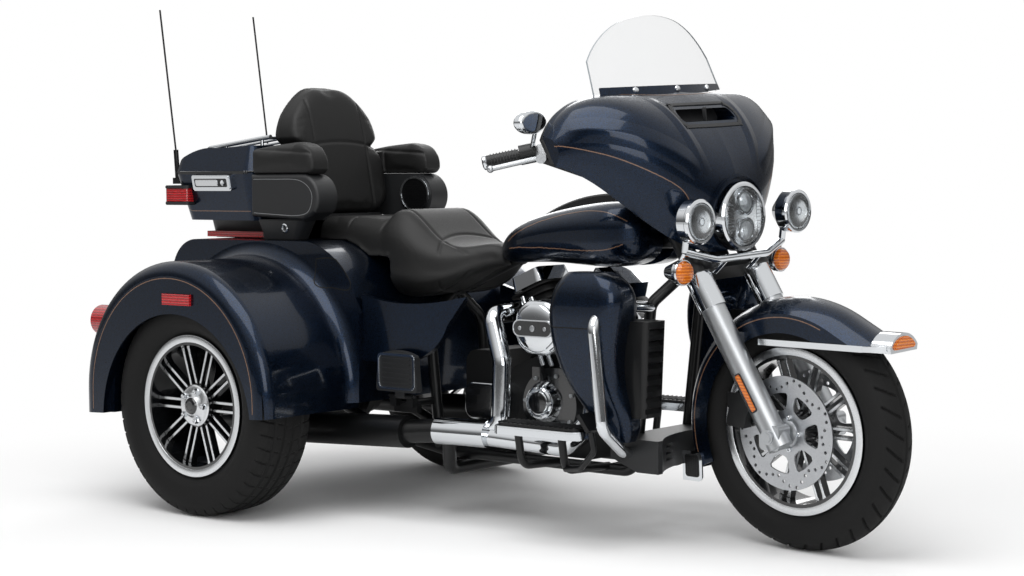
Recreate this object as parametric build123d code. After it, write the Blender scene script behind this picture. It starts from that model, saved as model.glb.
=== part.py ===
"""Touring motor trike: two driven wheels and a boot behind, one steered wheel and a fairing ahead.

Millimetres. +X is forward, +Y is the rider's left, +Z is up. The origin is on the ground, midway along.
Steered pieces are drawn straight ahead and then turned to the parked steering angle.
"""
from build123d import *
import math
import os

# Stance
WHEELBASE = 1670.0
FRONT_AXLE_X = 985.0
REAR_AXLE_X = FRONT_AXLE_X - WHEELBASE
HALF_TRACK = 567.0
CRANK_FROM_AXLE = 745.0
CRANK_X = FRONT_AXLE_X - CRANK_FROM_AXLE
CRANK_Z = 345.0

# Clearances
FIT = 0.3
SEAT_GAP = 0.3
MOVE_GAP = 5.0

# Front wheel
FRONT_TYRE_R = 320.0
FRONT_TYRE_HALF = 65.0
FRONT_SEAT_R = 205.0
FRONT_FLANGE_R = 222.0
FRONT_RIM_HALF = 40.0
FRONT_HUB_R = 50.0
FRONT_HUB_HALF = 74.0
AXLE_R = 12.5
DISC_R = 150.0
DISC_WALL = 5.0
DISC_Y = FRONT_HUB_HALF + DISC_WALL / 2
DISC_WINDOWS = 7

# Rear wheels
REAR_TYRE_R = 324.0
REAR_TYRE_HALF = 102.5
REAR_SEAT_R = 191.0
REAR_FLANGE_R = 207.5
REAR_RIM_HALF = 76.0
REAR_HUB_R = 62.0
REAR_HUB_HALF = 26.0
REAR_SPOKE_Y = 44.0
SPINDLE_R = 20.0
FLANGE_WALL = 9.0
BARREL_WALL = 13.0
SPOKE_PAIRS = 10
SPOKE_DEEP = 22.0
SPOKE_WIDE = 9.0
SPOKE_PITCH = 24.0

# Steering and fork
RAKE_DEG = 26.0
TRAIL = 99.0
FORK_DEG = 31.0
FORK_HALF = 122.0
PARKED_STEER_DEG = -6.5
SLIDER_R = 33.0
COVER_R = 37.0
FORK_TUBE_R = 26.0
STEM_R = 17.0
HEAD_R = 32.0
LOWER_YOKE_Z = 735.0
UPPER_YOKE_Z = 880.0
YOKE_WALL = 26.0
COVER_LOW_Z = 640.0
BAR_R = 12.7
GRIP_R = 18.0
BAR_CLAMP_Z = 918.0
BAR_KNEE = (FRONT_AXLE_X - 425.0, -185.0, 962.0)
GRIP_START = (FRONT_AXLE_X - 607.0, -372.0, 1064.0)
GRIP_END = (FRONT_AXLE_X - 685.0, -448.0, 1046.0)
MIRROR_LONG = 62.0
MIRROR_HIGH = 31.0

# Front guard
GUARD_CROWN_R = 350.0
GUARD_SPRING_R = 312.0
GUARD_SKIRT_R = 262.0
GUARD_HALF = FORK_HALF - COVER_R - 1.5
GUARD_WALL = 4.0
GUARD_FROM_DEG = 62.0
GUARD_TO_DEG = 202.0
GUARD_NOSE = 172.0
GUARD_EDGE_Z = 548.0
GUARD_FLAP_LONG = 68.0
GUARD_FLAP_HIGH = 82.0

# Fairing
FAIRING_ROWS = [
    # y, then x from the front axle and z of the top edge, the front and the bottom edge
    (0.0, -390.0, 1212.0, -207.0, 1000.0, -195.0, 800.0),
    (170.0, -413.0, 1212.0, -233.0, 1025.0, -280.0, 823.0),
    (330.0, -487.0, 1189.0, -340.0, 1082.0, -390.0, 970.0),
    (410.0, -499.0, 1106.0, -460.0, 1074.0, -474.0, 1030.0),
]
FAIRING_LIP = 16.0
SCOOP_WIDE = 222.0
SCOOP_HIGH = 34.0
SCOOP_DROP = 64.0
PANEL_WALL = 12.0
LAMP_Z = 876.0
LAMP_R = 93.0
LAMP_FRONT = FRONT_AXLE_X - 173.0
LAMP_DEEP = 62.0
SPOT_Y = 205.0
SPOT_X = FRONT_AXLE_X - 185.0
SPOT_Z = 876.0
SPOT_R = 58.0
LAMP_BAR_R = 10.0
SIGNAL_X = FRONT_AXLE_X - 229.0
SIGNAL_Z = 742.0
SIGNAL_R = 33.0
SCREEN_R = 600.0
SCREEN_WALL = 4.5
SCREEN_HIGH = 212.0
SCREEN_HALF = 262.0
SCREEN_LEAN_DEG = 23.5
DASH_HALF = 225.0

# Frame tubes
RAIL_Y = 118.0
RAIL_R = 16.0
RAIL_Z = 178.0
CROSS_R = 14.0
BACKBONE_R = 24.0
AXLE_TUBE_R = 38.0
DIFF_R = 88.0

# Engine
V_HALF_DEG = 22.5
CASE_HALF = 92.0
BARREL_R = 62.0
FIN_R = 84.0
FIN_COUNT = 9
FIN_WALL = 5.0
DECK = 150.0
HEAD_TOP = 350.0
ROCKER_HIGH = 42.0
THROAT_R = 27.0
PIPE_R = 27.0
MUFFLER_R = 47.0
MUFFLER_Y = 300.0
MUFFLER_Z = 262.0

# Rear body and boot, measured back and forward from the rear axle
BODY_HALF = 335.0
BODY_BLEND = 46.0
BODY_TOP = 795.0
BODY_BACK = 440.0
BODY_AHEAD = 375.0
BODY_LOW = 300.0
TUNNEL_Z = 470.0
ARCH_R = 399.0
ARCH_BACK = 50.0
ARCH_Z = 346.0
ARCH_ROOM = 20.5
ARCH_OUT = HALF_TRACK + REAR_TYRE_HALF + ARCH_ROOM
ARCH_EDGE = 42.0
SKIRT_WALL = 8.0
WELL_R = 336.0
WELL_IN = 440.0
SKIRT_CUT_R = 322.0
SKIRT_CUT_BACK = 32.0
SKIRT_CUT_Z = 271.0
BOOT_HALF = 262.0
BOOT_LOW = 335.0
BOOT_HIGH = 735.0
BOOT_DEEP = 275.0
DOOR_WALL = 28.0
HINGE_R = 8.0
PIN_R = 4.0
KNUCKLE = 26.0
DOOR_HINGE_Y = 150.0

# Top case, measured back from the rear axle
CASE_FRONT = 127.0
CASE_LONG = 376.0
CASE_WIDE = 560.0
CASE_FLOOR = 852.0
CASE_SEAM = 1006.0
CASE_LID = 80.0
CASE_WALL = 8.0
CASE_CORNER = 46.0
CASE_TAPER_BACK = 32.0
CASE_TAPER_SIDE = 30.0
LID_HINGE_X = 110.0
RACK_HALF = 168.0
AERIAL_Y = 205.0
AERIAL_HIGH = 546.0
PAD_BACK = CASE_FRONT - 7.0
ARM_LOW = 995.0

# Passenger boards
BOARD_AHEAD = 526.0
BOARD_HALF = 80.0
BOARD_HIGH = 132.0
BOARD_HINGE_Y = 318.0
BOARD_HINGE_Z = 358.0

# Section tables
TANK_ROWS = [
    # x from the crank, half width, low z, high z, corner radius
    (-228.0, 70.0, 742.0, 802.0, 28.0),
    (-150.0, 118.0, 738.0, 846.0, 48.0),
    (120.0, 164.0, 736.0, 908.0, 72.0),
    (268.0, 150.0, 748.0, 908.0, 66.0),
    (312.0, 84.0, 790.0, 880.0, 36.0),
]
SEAT_ROWS = [
    # x back from the tank, half width, low z, high z, corner radius
    (0.0, 62.0, 726.0, 776.0, 22.0),
    (100.0, 138.0, 690.0, 778.0, 38.0),
    (215.0, 198.0, 640.0, 812.0, 66.0),
    (312.0, 206.0, 630.0, 882.0, 92.0),
    (372.0, 196.0, 640.0, 858.0, 60.0),
    (640.0, 184.0, 700.0, 862.0, 44.0),
]
SHIELD_ROWS = [
    # z, rear x and front x from the crank, inner y, outer y, corner radius
    (285.0, 316.0, 385.0, 240.0, 304.0, 24.0),
    (420.0, 230.0, 388.0, 240.0, 354.0, 36.0),
    (600.0, 178.0, 402.0, 250.0, 392.0, 46.0),
    (690.0, 196.0, 404.0, 268.0, 388.0, 42.0),
    (733.0, 232.0, 352.0, 292.0, 366.0, 30.0),
]

RIGHT, LEFT = -1, 1
SIDES = (RIGHT, LEFT)
LOW = (Align.CENTER, Align.CENTER, Align.MIN)


# Helpers
def from_crank(dx):
    return CRANK_X + dx


def from_axle(dx):
    return REAR_AXLE_X + dx


def xz(y):
    """Plane at this y, drawn in X and Z, facing right."""
    return Plane(origin=(0, y, 0), x_dir=(1, 0, 0), z_dir=(0, -1, 0))


def yz(x):
    """Plane at this x, drawn in Y and Z, facing forward."""
    return Plane(origin=(x, 0, 0), x_dir=(0, 1, 0), z_dir=(1, 0, 0))


def outline(start, *steps):
    """Closed face from a start point; a step is an end point, or the middle and end points of an arc."""
    edges = []
    here = start
    for step in steps:
        if isinstance(step[0], tuple):
            edges.append(ThreePointArc(here, step[0], step[1]))
            here = step[1]
        else:
            edges.append(Line(here, step))
            here = step
    if here != start:
        edges.append(Line(here, start))
    return make_face(edges)


def block(low, high):
    """Box from its lowest to its highest corner."""
    size = [b - a for a, b in zip(low, high)]
    middle = [(a + b) / 2 for a, b in zip(low, high)]
    return Pos(*middle) * Box(*size)


def rod(start, end, radius):
    """Round bar from one point to another."""
    run = Vector(*end) - Vector(*start)
    return Plane(origin=Vector(*start), z_dir=run).location * Cylinder(radius, run.length, align=LOW)


def across(x, y, z, radius, half):
    """Round bar along Y about a centre."""
    return Pos(x, y, z) * Rot(90, 0, 0) * Cylinder(radius, 2 * half)


def along(x, y, z, radius, length, tip_radius=None):
    """Round or tapered bar along X, from its back end forward."""
    place = Pos(x, y, z) * Rot(0, 90, 0)
    if tip_radius is None:
        return place * Cylinder(radius, length, align=LOW)
    return place * Cone(radius, tip_radius, length, align=LOW)


def pipe(points, bend, radius):
    """Round bar along straight runs joined by bends of one radius."""
    line = FilletPolyline(*points, radius=bend)
    return sweep(Plane(origin=line @ 0, z_dir=line % 0) * Circle(radius), path=line)


def slab(plane, face, depth):
    """Extrusion of a face drawn on a plane."""
    return extrude(plane * face, amount=depth)


def turned(profile, x, z, y=0.0):
    """Turned solid about the cross axis at x and z; the profile is drawn in width and radius."""
    return revolve(Plane(origin=(x, y, z), x_dir=(0, 1, 0), z_dir=(1, 0, 0)) * profile,
                   axis=Axis((x, y, z), (0, 1, 0)))


def both(*shapes):
    """Right-hand shapes and their left-hand mirrors as one list of solids."""
    solids = [s for shape in shapes for s in shape.solids()]
    return solids + [m for s in solids for m in mirror(s, about=Plane.XZ).solids()]


def biggest(shape):
    """The largest solid of a shape, without the chips that a cut leaves."""
    return max(shape.solids(), key=lambda s: s.volume)


def fork_at(z):
    """X of the fork legs' centre lines at a height."""
    return FRONT_AXLE_X - (z - FRONT_TYRE_R) * math.tan(math.radians(FORK_DEG))


def steer_at(z):
    """X of the steering axis at a height."""
    return FRONT_AXLE_X + TRAIL - z * math.tan(math.radians(RAKE_DEG))


def fork_point(z, side):
    return Vector(fork_at(z), side * FORK_HALF, z)


STEER_AXIS = Axis((steer_at(0), 0, 0), (steer_at(1000) - steer_at(0), 0, 1000))
FORK_DIR = Vector(-math.sin(math.radians(FORK_DEG)), 0, math.cos(math.radians(FORK_DEG)))


# Wheels
def front_tyre():
    h, seat, wide = FRONT_RIM_HALF, FRONT_SEAT_R, FRONT_TYRE_HALF
    edge_y, edge_r = wide - 7, FRONT_TYRE_R - 27
    bulge_r = (FRONT_FLANGE_R + edge_r) / 2 + 5
    return turned(outline(
        (-h, seat),
        (-h, FRONT_FLANGE_R + 2),
        ((-wide, bulge_r), (-edge_y, edge_r)),
        ((0, FRONT_TYRE_R), (edge_y, edge_r)),
        ((wide, bulge_r), (h, FRONT_FLANGE_R + 2)),
        (h, seat),
    ), FRONT_AXLE_X, FRONT_TYRE_R)


def rear_tyre(side):
    h, seat, wide = REAR_RIM_HALF, REAR_SEAT_R, REAR_TYRE_HALF
    edge_y, edge_r = wide - 7, REAR_TYRE_R - 25
    crown_y, crown_r = wide - 28, REAR_TYRE_R - 4
    bulge_r = (REAR_FLANGE_R + edge_r) / 2
    return turned(outline(
        (-h, seat),
        (-h, REAR_FLANGE_R + 2),
        ((-wide, bulge_r), (-edge_y, edge_r)),
        ((-edge_y + 7, edge_r + 14), (-crown_y, crown_r)),
        ((0, REAR_TYRE_R), (crown_y, crown_r)),
        ((edge_y - 7, edge_r + 14), (edge_y, edge_r)),
        ((wide, bulge_r), (h, REAR_FLANGE_R + 2)),
        (h, seat),
    ), REAR_AXLE_X, REAR_TYRE_R, side * HALF_TRACK)


def wheel(x, y, z, seat_r, flange_r, rim_half, hub_r, hub_half, spoke_y, bore_r):
    """Cast wheel: flanged barrel, hub and pairs of parallel spokes."""
    lip, inner = rim_half + FLANGE_WALL, seat_r - BARREL_WALL
    body = turned(outline(
        (-lip, inner), (-lip, flange_r), (-rim_half, flange_r), (-rim_half, seat_r),
        (rim_half, seat_r), (rim_half, flange_r), (lip, flange_r), (lip, inner),
    ), x, z, y)
    root, tip = hub_r - 6, inner + 3
    for n in range(SPOKE_PAIRS):
        turn = Location((x, y + spoke_y, z)) * Rot(0, n * 360 / SPOKE_PAIRS, 0)
        for offset in (-SPOKE_PITCH / 2, SPOKE_PITCH / 2):
            body += turn * Pos((root + tip) / 2, 0, offset) * Box(tip - root, SPOKE_DEEP, SPOKE_WIDE)
    body += across(x, y + spoke_y, z, hub_r, hub_half)
    return body - across(x, y + spoke_y, z, bore_r, 2 * hub_half)


def front_rim():
    return wheel(FRONT_AXLE_X, 0, FRONT_TYRE_R, FRONT_SEAT_R, FRONT_FLANGE_R, FRONT_RIM_HALF,
                 FRONT_HUB_R, FRONT_HUB_HALF, 0.0, AXLE_R + FIT)


def rear_rim(side):
    return wheel(REAR_AXLE_X, side * HALF_TRACK, REAR_TYRE_R, REAR_SEAT_R, REAR_FLANGE_R, REAR_RIM_HALF,
                 REAR_HUB_R, REAR_HUB_HALF, side * REAR_SPOKE_Y, SPINDLE_R + FIT)


def front_discs():
    """Brake discs on the hub's ends, with windows in their carriers."""
    window_r = (DISC_R - FRONT_HUB_R - 32) / 3
    discs = []
    for side in SIDES:
        disc = across(FRONT_AXLE_X, side * DISC_Y, FRONT_TYRE_R, DISC_R, DISC_WALL / 2)
        disc -= across(FRONT_AXLE_X, side * DISC_Y, FRONT_TYRE_R, FRONT_HUB_R - 12, DISC_WALL)
        for n in range(DISC_WINDOWS):
            turn = Location((FRONT_AXLE_X, side * DISC_Y, FRONT_TYRE_R)) * Rot(0, n * 360 / DISC_WINDOWS, 0)
            disc -= turn * across(FRONT_HUB_R + 10 + window_r, 0, 0, window_r, DISC_WALL)
        discs.append(disc)
    return discs


# Fork and steering
def yoke_plate(z, clamp_r):
    """Clamp plate square to the fork legs, from leg to leg round the stem."""
    plane = Plane(origin=(fork_at(z), 0, z), x_dir=(0, 1, 0), z_dir=FORK_DIR)
    shape = Rectangle(2 * FORK_HALF, 2 * clamp_r) + [Pos(s * FORK_HALF, 0) * Circle(clamp_r) for s in SIDES]
    return extrude(plane * shape, amount=YOKE_WALL / 2, both=True)


def fork_yokes(bar):
    """Two clamp plates, the steering stem, the upper fork tubes and the handlebar riser."""
    body = yoke_plate(LOWER_YOKE_Z, COVER_R + 4) + yoke_plate(UPPER_YOKE_Z, FORK_TUBE_R + 6)
    low, high = LOWER_YOKE_Z - 4, UPPER_YOKE_Z + 4
    body += rod((steer_at(low), 0, low), (steer_at(high), 0, high), STEM_R)
    for side in SIDES:
        foot, head = fork_point(LOWER_YOKE_Z, side), fork_point(UPPER_YOKE_Z + 12, side)
        body += rod(tuple(foot), tuple(head), FORK_TUBE_R)
    x = fork_at(BAR_CLAMP_Z)
    body += block((x - 24, -56, UPPER_YOKE_Z), (x + 24, 56, BAR_CLAMP_Z + BAR_R + 8))
    return biggest(body - bar)


def fork_covers():
    """Bright covers under the lower yoke."""
    covers = []
    for side in SIDES:
        high = fork_point(LOWER_YOKE_Z, side) - FORK_DIR * (YOKE_WALL / 2)
        covers.append(rod(tuple(fork_point(COVER_LOW_Z, side)), tuple(high), COVER_R))
    return covers


def fork_sliders():
    """Lower legs with axle lugs and guard bosses, joined by the front axle."""
    hub_side = DISC_Y + DISC_WALL / 2 + MOVE_GAP
    body = across(FRONT_AXLE_X, 0, FRONT_TYRE_R, AXLE_R, FORK_HALF + SLIDER_R + 6)
    for side in SIDES:
        y = side * FORK_HALF
        foot, head = fork_point(FRONT_TYRE_R - 30, side), fork_point(COVER_LOW_Z, side)
        body += rod(tuple(foot), tuple(head), SLIDER_R)
        lug = block((FRONT_AXLE_X - 34, y - 24, FRONT_TYRE_R - 36),
                    (FRONT_AXLE_X + 30, y + 24, FRONT_TYRE_R + 30))
        body += fillet(lug.edges().filter_by(Axis.Y), 14)
        body += across(FRONT_AXLE_X, y + side * 31, FRONT_TYRE_R, 19, 6)
        spacer = (FORK_HALF + hub_side) / 2
        body += across(FRONT_AXLE_X, side * spacer, FRONT_TYRE_R, AXLE_R + 9, spacer - hub_side)
        boss_x = fork_at(GUARD_EDGE_Z + 16)
        boss_y = sorted((side * (GUARD_HALF + SEAT_GAP), y))
        body += block((boss_x - 12, boss_y[0], GUARD_EDGE_Z + 4), (boss_x + 24, boss_y[1], GUARD_EDGE_Z + 30))
    return body


def front_calipers():
    """Brake calipers behind the legs, open around the discs."""
    inner, outer, half = DISC_R - 42, DISC_R + 18, 33.0
    start, mid, end = [math.radians(a) for a in (141, 158, 176)]

    def polar(radius, angle):
        return (radius * math.cos(angle), radius * math.sin(angle))

    face = outline(
        polar(inner, start), polar(outer, start), (polar(outer, mid), polar(outer, end)),
        polar(inner, end), (polar(inner, mid), polar(inner, start)),
    )
    y = -DISC_Y - 4
    plane = Plane(origin=(FRONT_AXLE_X, y + half, FRONT_TYRE_R), x_dir=(1, 0, 0), z_dir=(0, -1, 0))
    body = extrude(plane * face, amount=2 * half)
    body -= across(FRONT_AXLE_X, -DISC_Y, FRONT_TYRE_R, DISC_R + MOVE_GAP, DISC_WALL / 2 + MOVE_GAP)
    body -= across(FRONT_AXLE_X, 0, FRONT_TYRE_R, 2 * DISC_R, FRONT_RIM_HALF + FLANGE_WALL + MOVE_GAP)
    bracket = block((FRONT_AXLE_X - outer + 6, y - half, FRONT_TYRE_R + 60),
                    (fork_at(FRONT_TYRE_R + 80) + 4, -FORK_HALF + 14, FRONT_TYRE_R + 100))
    leg = rod(tuple(fork_point(FRONT_TYRE_R - 30, RIGHT)), tuple(fork_point(COVER_LOW_Z, RIGHT)), SLIDER_R)
    body = body + bracket - leg
    body -= across(FRONT_AXLE_X, -DISC_Y, FRONT_TYRE_R, DISC_R + MOVE_GAP, DISC_WALL / 2 + MOVE_GAP)
    return both(biggest(body))


def guard_plane(angle_deg):
    """Plane through the front axle at an angle above straight ahead, drawn in width and radius."""
    a = math.radians(angle_deg)
    return Plane(origin=(FRONT_AXLE_X, 0, FRONT_TYRE_R), x_dir=(0, 1, 0),
                 z_dir=(math.sin(a), 0, -math.cos(a)))


def front_guard():
    """Skirted guard over the front wheel: turned about the axle, then straight at its nose."""
    h, w = GUARD_HALF, GUARD_WALL
    section = guard_plane(GUARD_FROM_DEG) * outline(
        (-h, GUARD_SKIRT_R),
        (-h, GUARD_SPRING_R),
        ((0, GUARD_CROWN_R), (h, GUARD_SPRING_R)),
        (h, GUARD_SKIRT_R),
        (h - w, GUARD_SKIRT_R),
        (h - w, GUARD_SPRING_R - 1),
        ((0, GUARD_CROWN_R - w), (w - h, GUARD_SPRING_R - 1)),
        (w - h, GUARD_SKIRT_R),
    )
    arch = revolve(section, axis=Axis((FRONT_AXLE_X, 0, FRONT_TYRE_R), (0, -1, 0)),
                   revolution_arc=GUARD_TO_DEG - GUARD_FROM_DEG)
    body = arch + extrude(section, amount=GUARD_NOSE)
    edge = block((fork_at(GUARD_EDGE_Z), -2 * h, 0), (FRONT_AXLE_X + 3 * GUARD_CROWN_R, 2 * h, GUARD_EDGE_Z))
    return biggest(body - edge)


def guard_trim(guard):
    """Nose lamp, bright edge strips and the bright flaps on the tail of the front guard."""
    tip = (guard_plane(GUARD_FROM_DEG).location * Pos(0, GUARD_CROWN_R - 40, GUARD_NOSE)).position
    z = GUARD_EDGE_Z + 10
    lamp = slab(yz(tip.X - 40), outline((-60, z), ((0, z + 34), (60, z)), (56, z - 14), (-56, z - 14)), 60)
    lamp = biggest(lamp - guard)
    start = fork_at(GUARD_EDGE_Z) + SLIDER_R + 30
    near, far = -GUARD_HALF - SEAT_GAP, -GUARD_HALF - 5
    strip = block((start, far, GUARD_EDGE_Z), (tip.X - 44, near, GUARD_EDGE_Z + 16))
    tail = FRONT_AXLE_X - GUARD_CROWN_R + 4
    flap_top = FRONT_TYRE_R - 76
    flap = block((tail, far, flap_top - GUARD_FLAP_HIGH), (tail + GUARD_FLAP_LONG, near, flap_top))
    flap = fillet(flap.edges().filter_by(Axis.Y).sort_by(Axis.X)[-2:], 16)
    return [lamp, *both(strip, flap)]


# Fairing and lamps
def fairing_rows():
    """The fairing's rows with x measured on the ground."""
    return [(y, FRONT_AXLE_X + tx, tz, FRONT_AXLE_X + fx, fz, FRONT_AXLE_X + bx, bz)
            for y, tx, tz, fx, fz, bx, bz in FAIRING_ROWS]


def lamp_bore():
    """Space for the headlamp through the fairing and its inner panel."""
    return along(LAMP_FRONT - 4 * LAMP_DEEP, 0, LAMP_Z, LAMP_R + SEAT_GAP, 8 * LAMP_DEEP)


def fork_room():
    """Space for the fork tubes behind the fairing."""
    tubes = [rod(tuple(fork_point(LOWER_YOKE_Z, s)), tuple(fork_point(UPPER_YOKE_Z + 40, s)), FORK_TUBE_R + 2)
             for s in SIDES]
    return tubes[0] + tubes[1]


def fairing():
    """Outer fairing shell with the headlamp opening and the air scoop."""
    faces = []
    for y, top_x, top_z, front_x, front_z, bottom_x, bottom_z in fairing_rows():
        faces.append(xz(-y) * outline(
            (top_x - FAIRING_LIP, top_z), (top_x, top_z), ((front_x, front_z), (bottom_x, bottom_z))))
    right = loft(faces)
    _, top_x, top_z, *_ = fairing_rows()[0]
    mouth = Pos(0, top_z - SCOOP_DROP) * RectangleRounded(SCOOP_WIDE, SCOOP_HIGH, 12)
    scoop = slab(yz(top_x + FAIRING_LIP), mouth, 200)
    return biggest(right + mirror(right, about=Plane.XZ) - lamp_bore() - fork_room() - scoop)


def dash(shell, yokes):
    """Inner fairing: a panel behind the whole shell, with the rider's instruments in its middle."""
    faces = []
    for y, top_x, top_z, _, _, bottom_x, bottom_z in fairing_rows():
        top, low = (top_x - FAIRING_LIP, top_z - 6), (bottom_x - 4, bottom_z + 8)
        faces.append(xz(-y) * outline(top, low, (low[0] - PANEL_WALL, low[1]), (top[0] - PANEL_WALL, top[1])))
    right = loft(faces)
    back, top = fairing_rows()[0][1] - 90, fairing_rows()[0][2] - 16
    body = slab(xz(DASH_HALF), outline(
        (back + 176, top - 148), (back + 104, top - 10), (back + 8, top), (back - 38, top - 56),
        (back - 26, top - 146)), 2 * DASH_HALF)
    body -= Pos(back - 26, 0, top - 96) * Rot(0, 8, 0) * Box(30, 150, 84)
    for y in (-0.73 * DASH_HALF, -0.47 * DASH_HALF, 0.47 * DASH_HALF, 0.73 * DASH_HALF):
        body += Pos(back - 22, y, top - 84) * Rot(0, -80, 0) * Cylinder(26, 34)
    body += right + mirror(right, about=Plane.XZ)
    return biggest(body - shell - yokes - lamp_bore() - fork_room())


def fairing_bracket(shell, panel, yokes):
    """Plates that carry the fairing and its panel on the upper yoke."""
    x, z = fork_at(UPPER_YOKE_Z), UPPER_YOKE_Z
    side = outline((x - 20, z + 10), (x + 30, z + 2), (x + 92, z + 40), (x + 20, z + 190), (x - 30, z + 190),
                   (x - 10, z + 90))
    return [biggest(slab(xz(y), side, 6) - shell - panel - yokes) for y in (90, -84)]


def windscreen(shell):
    """Clear screen: a leaning curved sheet cut to its outline."""
    lean = math.radians(SCREEN_LEAN_DEG)
    up = Vector(-math.sin(lean), 0, math.cos(lean))
    base_x, base_z = fairing_rows()[0][1] - FAIRING_LIP / 2, fairing_rows()[0][2] + SEAT_GAP
    plane = Plane(origin=Vector(base_x, 0, base_z) - up * 120, x_dir=(0, 1, 0), z_dir=up)
    back = -1 if plane.y_dir.X > 0 else 1
    band = Pos(0, back * SCREEN_R) * (Circle(SCREEN_R) - Circle(SCREEN_R - SCREEN_WALL))
    sheet = extrude(plane * band, amount=2 * SCREEN_HIGH + 120)
    half, top = SCREEN_HALF, base_z + SCREEN_HIGH
    shape = outline(
        (-half, base_z - 8),
        (-0.95 * half, top - 0.58 * SCREEN_HIGH),
        ((-0.78 * half, top - 0.33 * SCREEN_HIGH), (-0.42 * half, top - 0.07 * SCREEN_HIGH)),
        ((0, top), (0.42 * half, top - 0.07 * SCREEN_HIGH)),
        ((0.78 * half, top - 0.33 * SCREEN_HIGH), (0.95 * half, top - 0.58 * SCREEN_HIGH)),
        (half, base_z - 8),
        ((0, base_z), (-half, base_z - 8)),
    )
    front_half = slab(yz(base_x - SCREEN_R / 2), shape, SCREEN_R)
    return biggest((sheet & front_half) - shell)


def headlamp():
    """Bowl, bright bezel and lens of the headlamp."""
    rings = [
        # start behind the front, length, back radius, front radius
        (LAMP_DEEP + 12, 32.0, LAMP_R - 30, LAMP_R),
        (LAMP_DEEP - 20, LAMP_DEEP - 36, LAMP_R, LAMP_R),
        (16.0, 8.0, LAMP_R, LAMP_R - 9),
        (8.0, 8.0, LAMP_R - 14, LAMP_R - 44),
    ]
    body = along(LAMP_FRONT - LAMP_DEEP - 12, 0, LAMP_Z, LAMP_R - 50, LAMP_DEEP)
    for start, length, back, front in rings:
        body += along(LAMP_FRONT - start, 0, LAMP_Z, back, length, None if back == front else front)
    return body


def lamp_bar_z():
    """Height of the lamp bar, just under the headlamp."""
    return LAMP_Z - LAMP_R - LAMP_BAR_R - 4


def spot_lamps(yokes):
    """Passing lamps and the bright bar that carries them on the lower yoke."""
    z = lamp_bar_z()
    end_x, mid_x = SPOT_X - 30, SPOT_X - 6
    bar = pipe([(end_x, -SPOT_Y, z + 26), (mid_x, -LAMP_R - 14, z),
                (mid_x, LAMP_R + 14, z), (end_x, SPOT_Y, z + 26)],
               60, LAMP_BAR_R)
    for side in SIDES:
        y = side * SPOT_Y
        bar += along(SPOT_X - 42, y, SPOT_Z, 24, 36, SPOT_R)
        bar += along(SPOT_X - 6, y, SPOT_Z, SPOT_R, 26)
        bar += rod((end_x, y, z + 26), (SPOT_X - 20, y, SPOT_Z - 24), 9)
        bar += rod((mid_x, side * 70, z), (fork_at(LOWER_YOKE_Z) + 20, side * 70, LOWER_YOKE_Z), 11)
    return biggest(bar - yokes)


def turn_signals(bar):
    """Amber bullet lamps hung under the ends of the lamp bar."""
    lamps = []
    for side in SIDES:
        y = side * SPOT_Y
        lamp = along(SIGNAL_X - 46, y, SIGNAL_Z, 16, 40, SIGNAL_R)
        lamp += along(SIGNAL_X - 6, y, SIGNAL_Z, SIGNAL_R, 12)
        lamp += rod((SIGNAL_X - 20, y, SIGNAL_Z), (SPOT_X - 30, y, lamp_bar_z() + 24), 7)
        lamps.append(biggest(lamp - bar))
    return lamps


def grip_line():
    """Inner end, outer end and direction of the right grip."""
    start, end = Vector(*GRIP_START), Vector(*GRIP_END)
    return start, end, (end - start).normalized()


def flip(v, side):
    """A right-hand point on the given side."""
    return (v.X, -side * v.Y, v.Z)


def handlebar():
    """Swept-back bar with its grips and switch housings."""
    start, end, run = grip_line()
    right = [(fork_at(BAR_CLAMP_Z), -56, BAR_CLAMP_Z), BAR_KNEE, GRIP_START, GRIP_END]
    left = [(x, -y, z) for x, y, z in reversed(right)]
    bar = pipe(left + right, 45, BAR_R)
    for side in SIDES:
        bar += rod(flip(start + run * 26, side), flip(end + run * 6, side), GRIP_R)
        bar += rod(flip(start - run * 22, side), flip(start + run * 24, side), GRIP_R + 9)
    return bar


def hand_controls(bar):
    """Levers ahead of the grips, on their clamps."""
    start, end, run = grip_line()
    ahead = Vector(0.66, -0.66, -0.36)
    pivot = start - run * 32 + ahead * 44
    tip = end - run * 6 + ahead * 52
    lever = rod(tuple(pivot), tuple(tip), 7) + Pos(*tip) * Sphere(10)
    clamp = rod(tuple(pivot - ahead * 60), tuple(pivot + ahead * 8), 14)
    return both(biggest(lever + clamp - bar))


def mirrors(bar):
    """Mirrors on stalks from the switch housings."""
    start = grip_line()[0]
    centre = start + Vector(50, -58, 84)
    plane = Plane(origin=centre, x_dir=(0, 1, 0), z_dir=(1, 0.2, 0))
    head = fillet((plane.location * extrude(Ellipse(MIRROR_LONG, MIRROR_HIGH), amount=30)).edges(), 9)
    stalk = rod(tuple(start + Vector(4, 4, 0)), tuple(centre + Vector(14, 24, -18)), 6)
    return both(biggest(head + stalk - bar))


# Frame and running gear
def backbone_route():
    return [(steer_at(815), 0, 815), (from_crank(90), 0, 798),
            (from_crank(-200), 0, 762), (from_crank(-490), 0, 640)]


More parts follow.
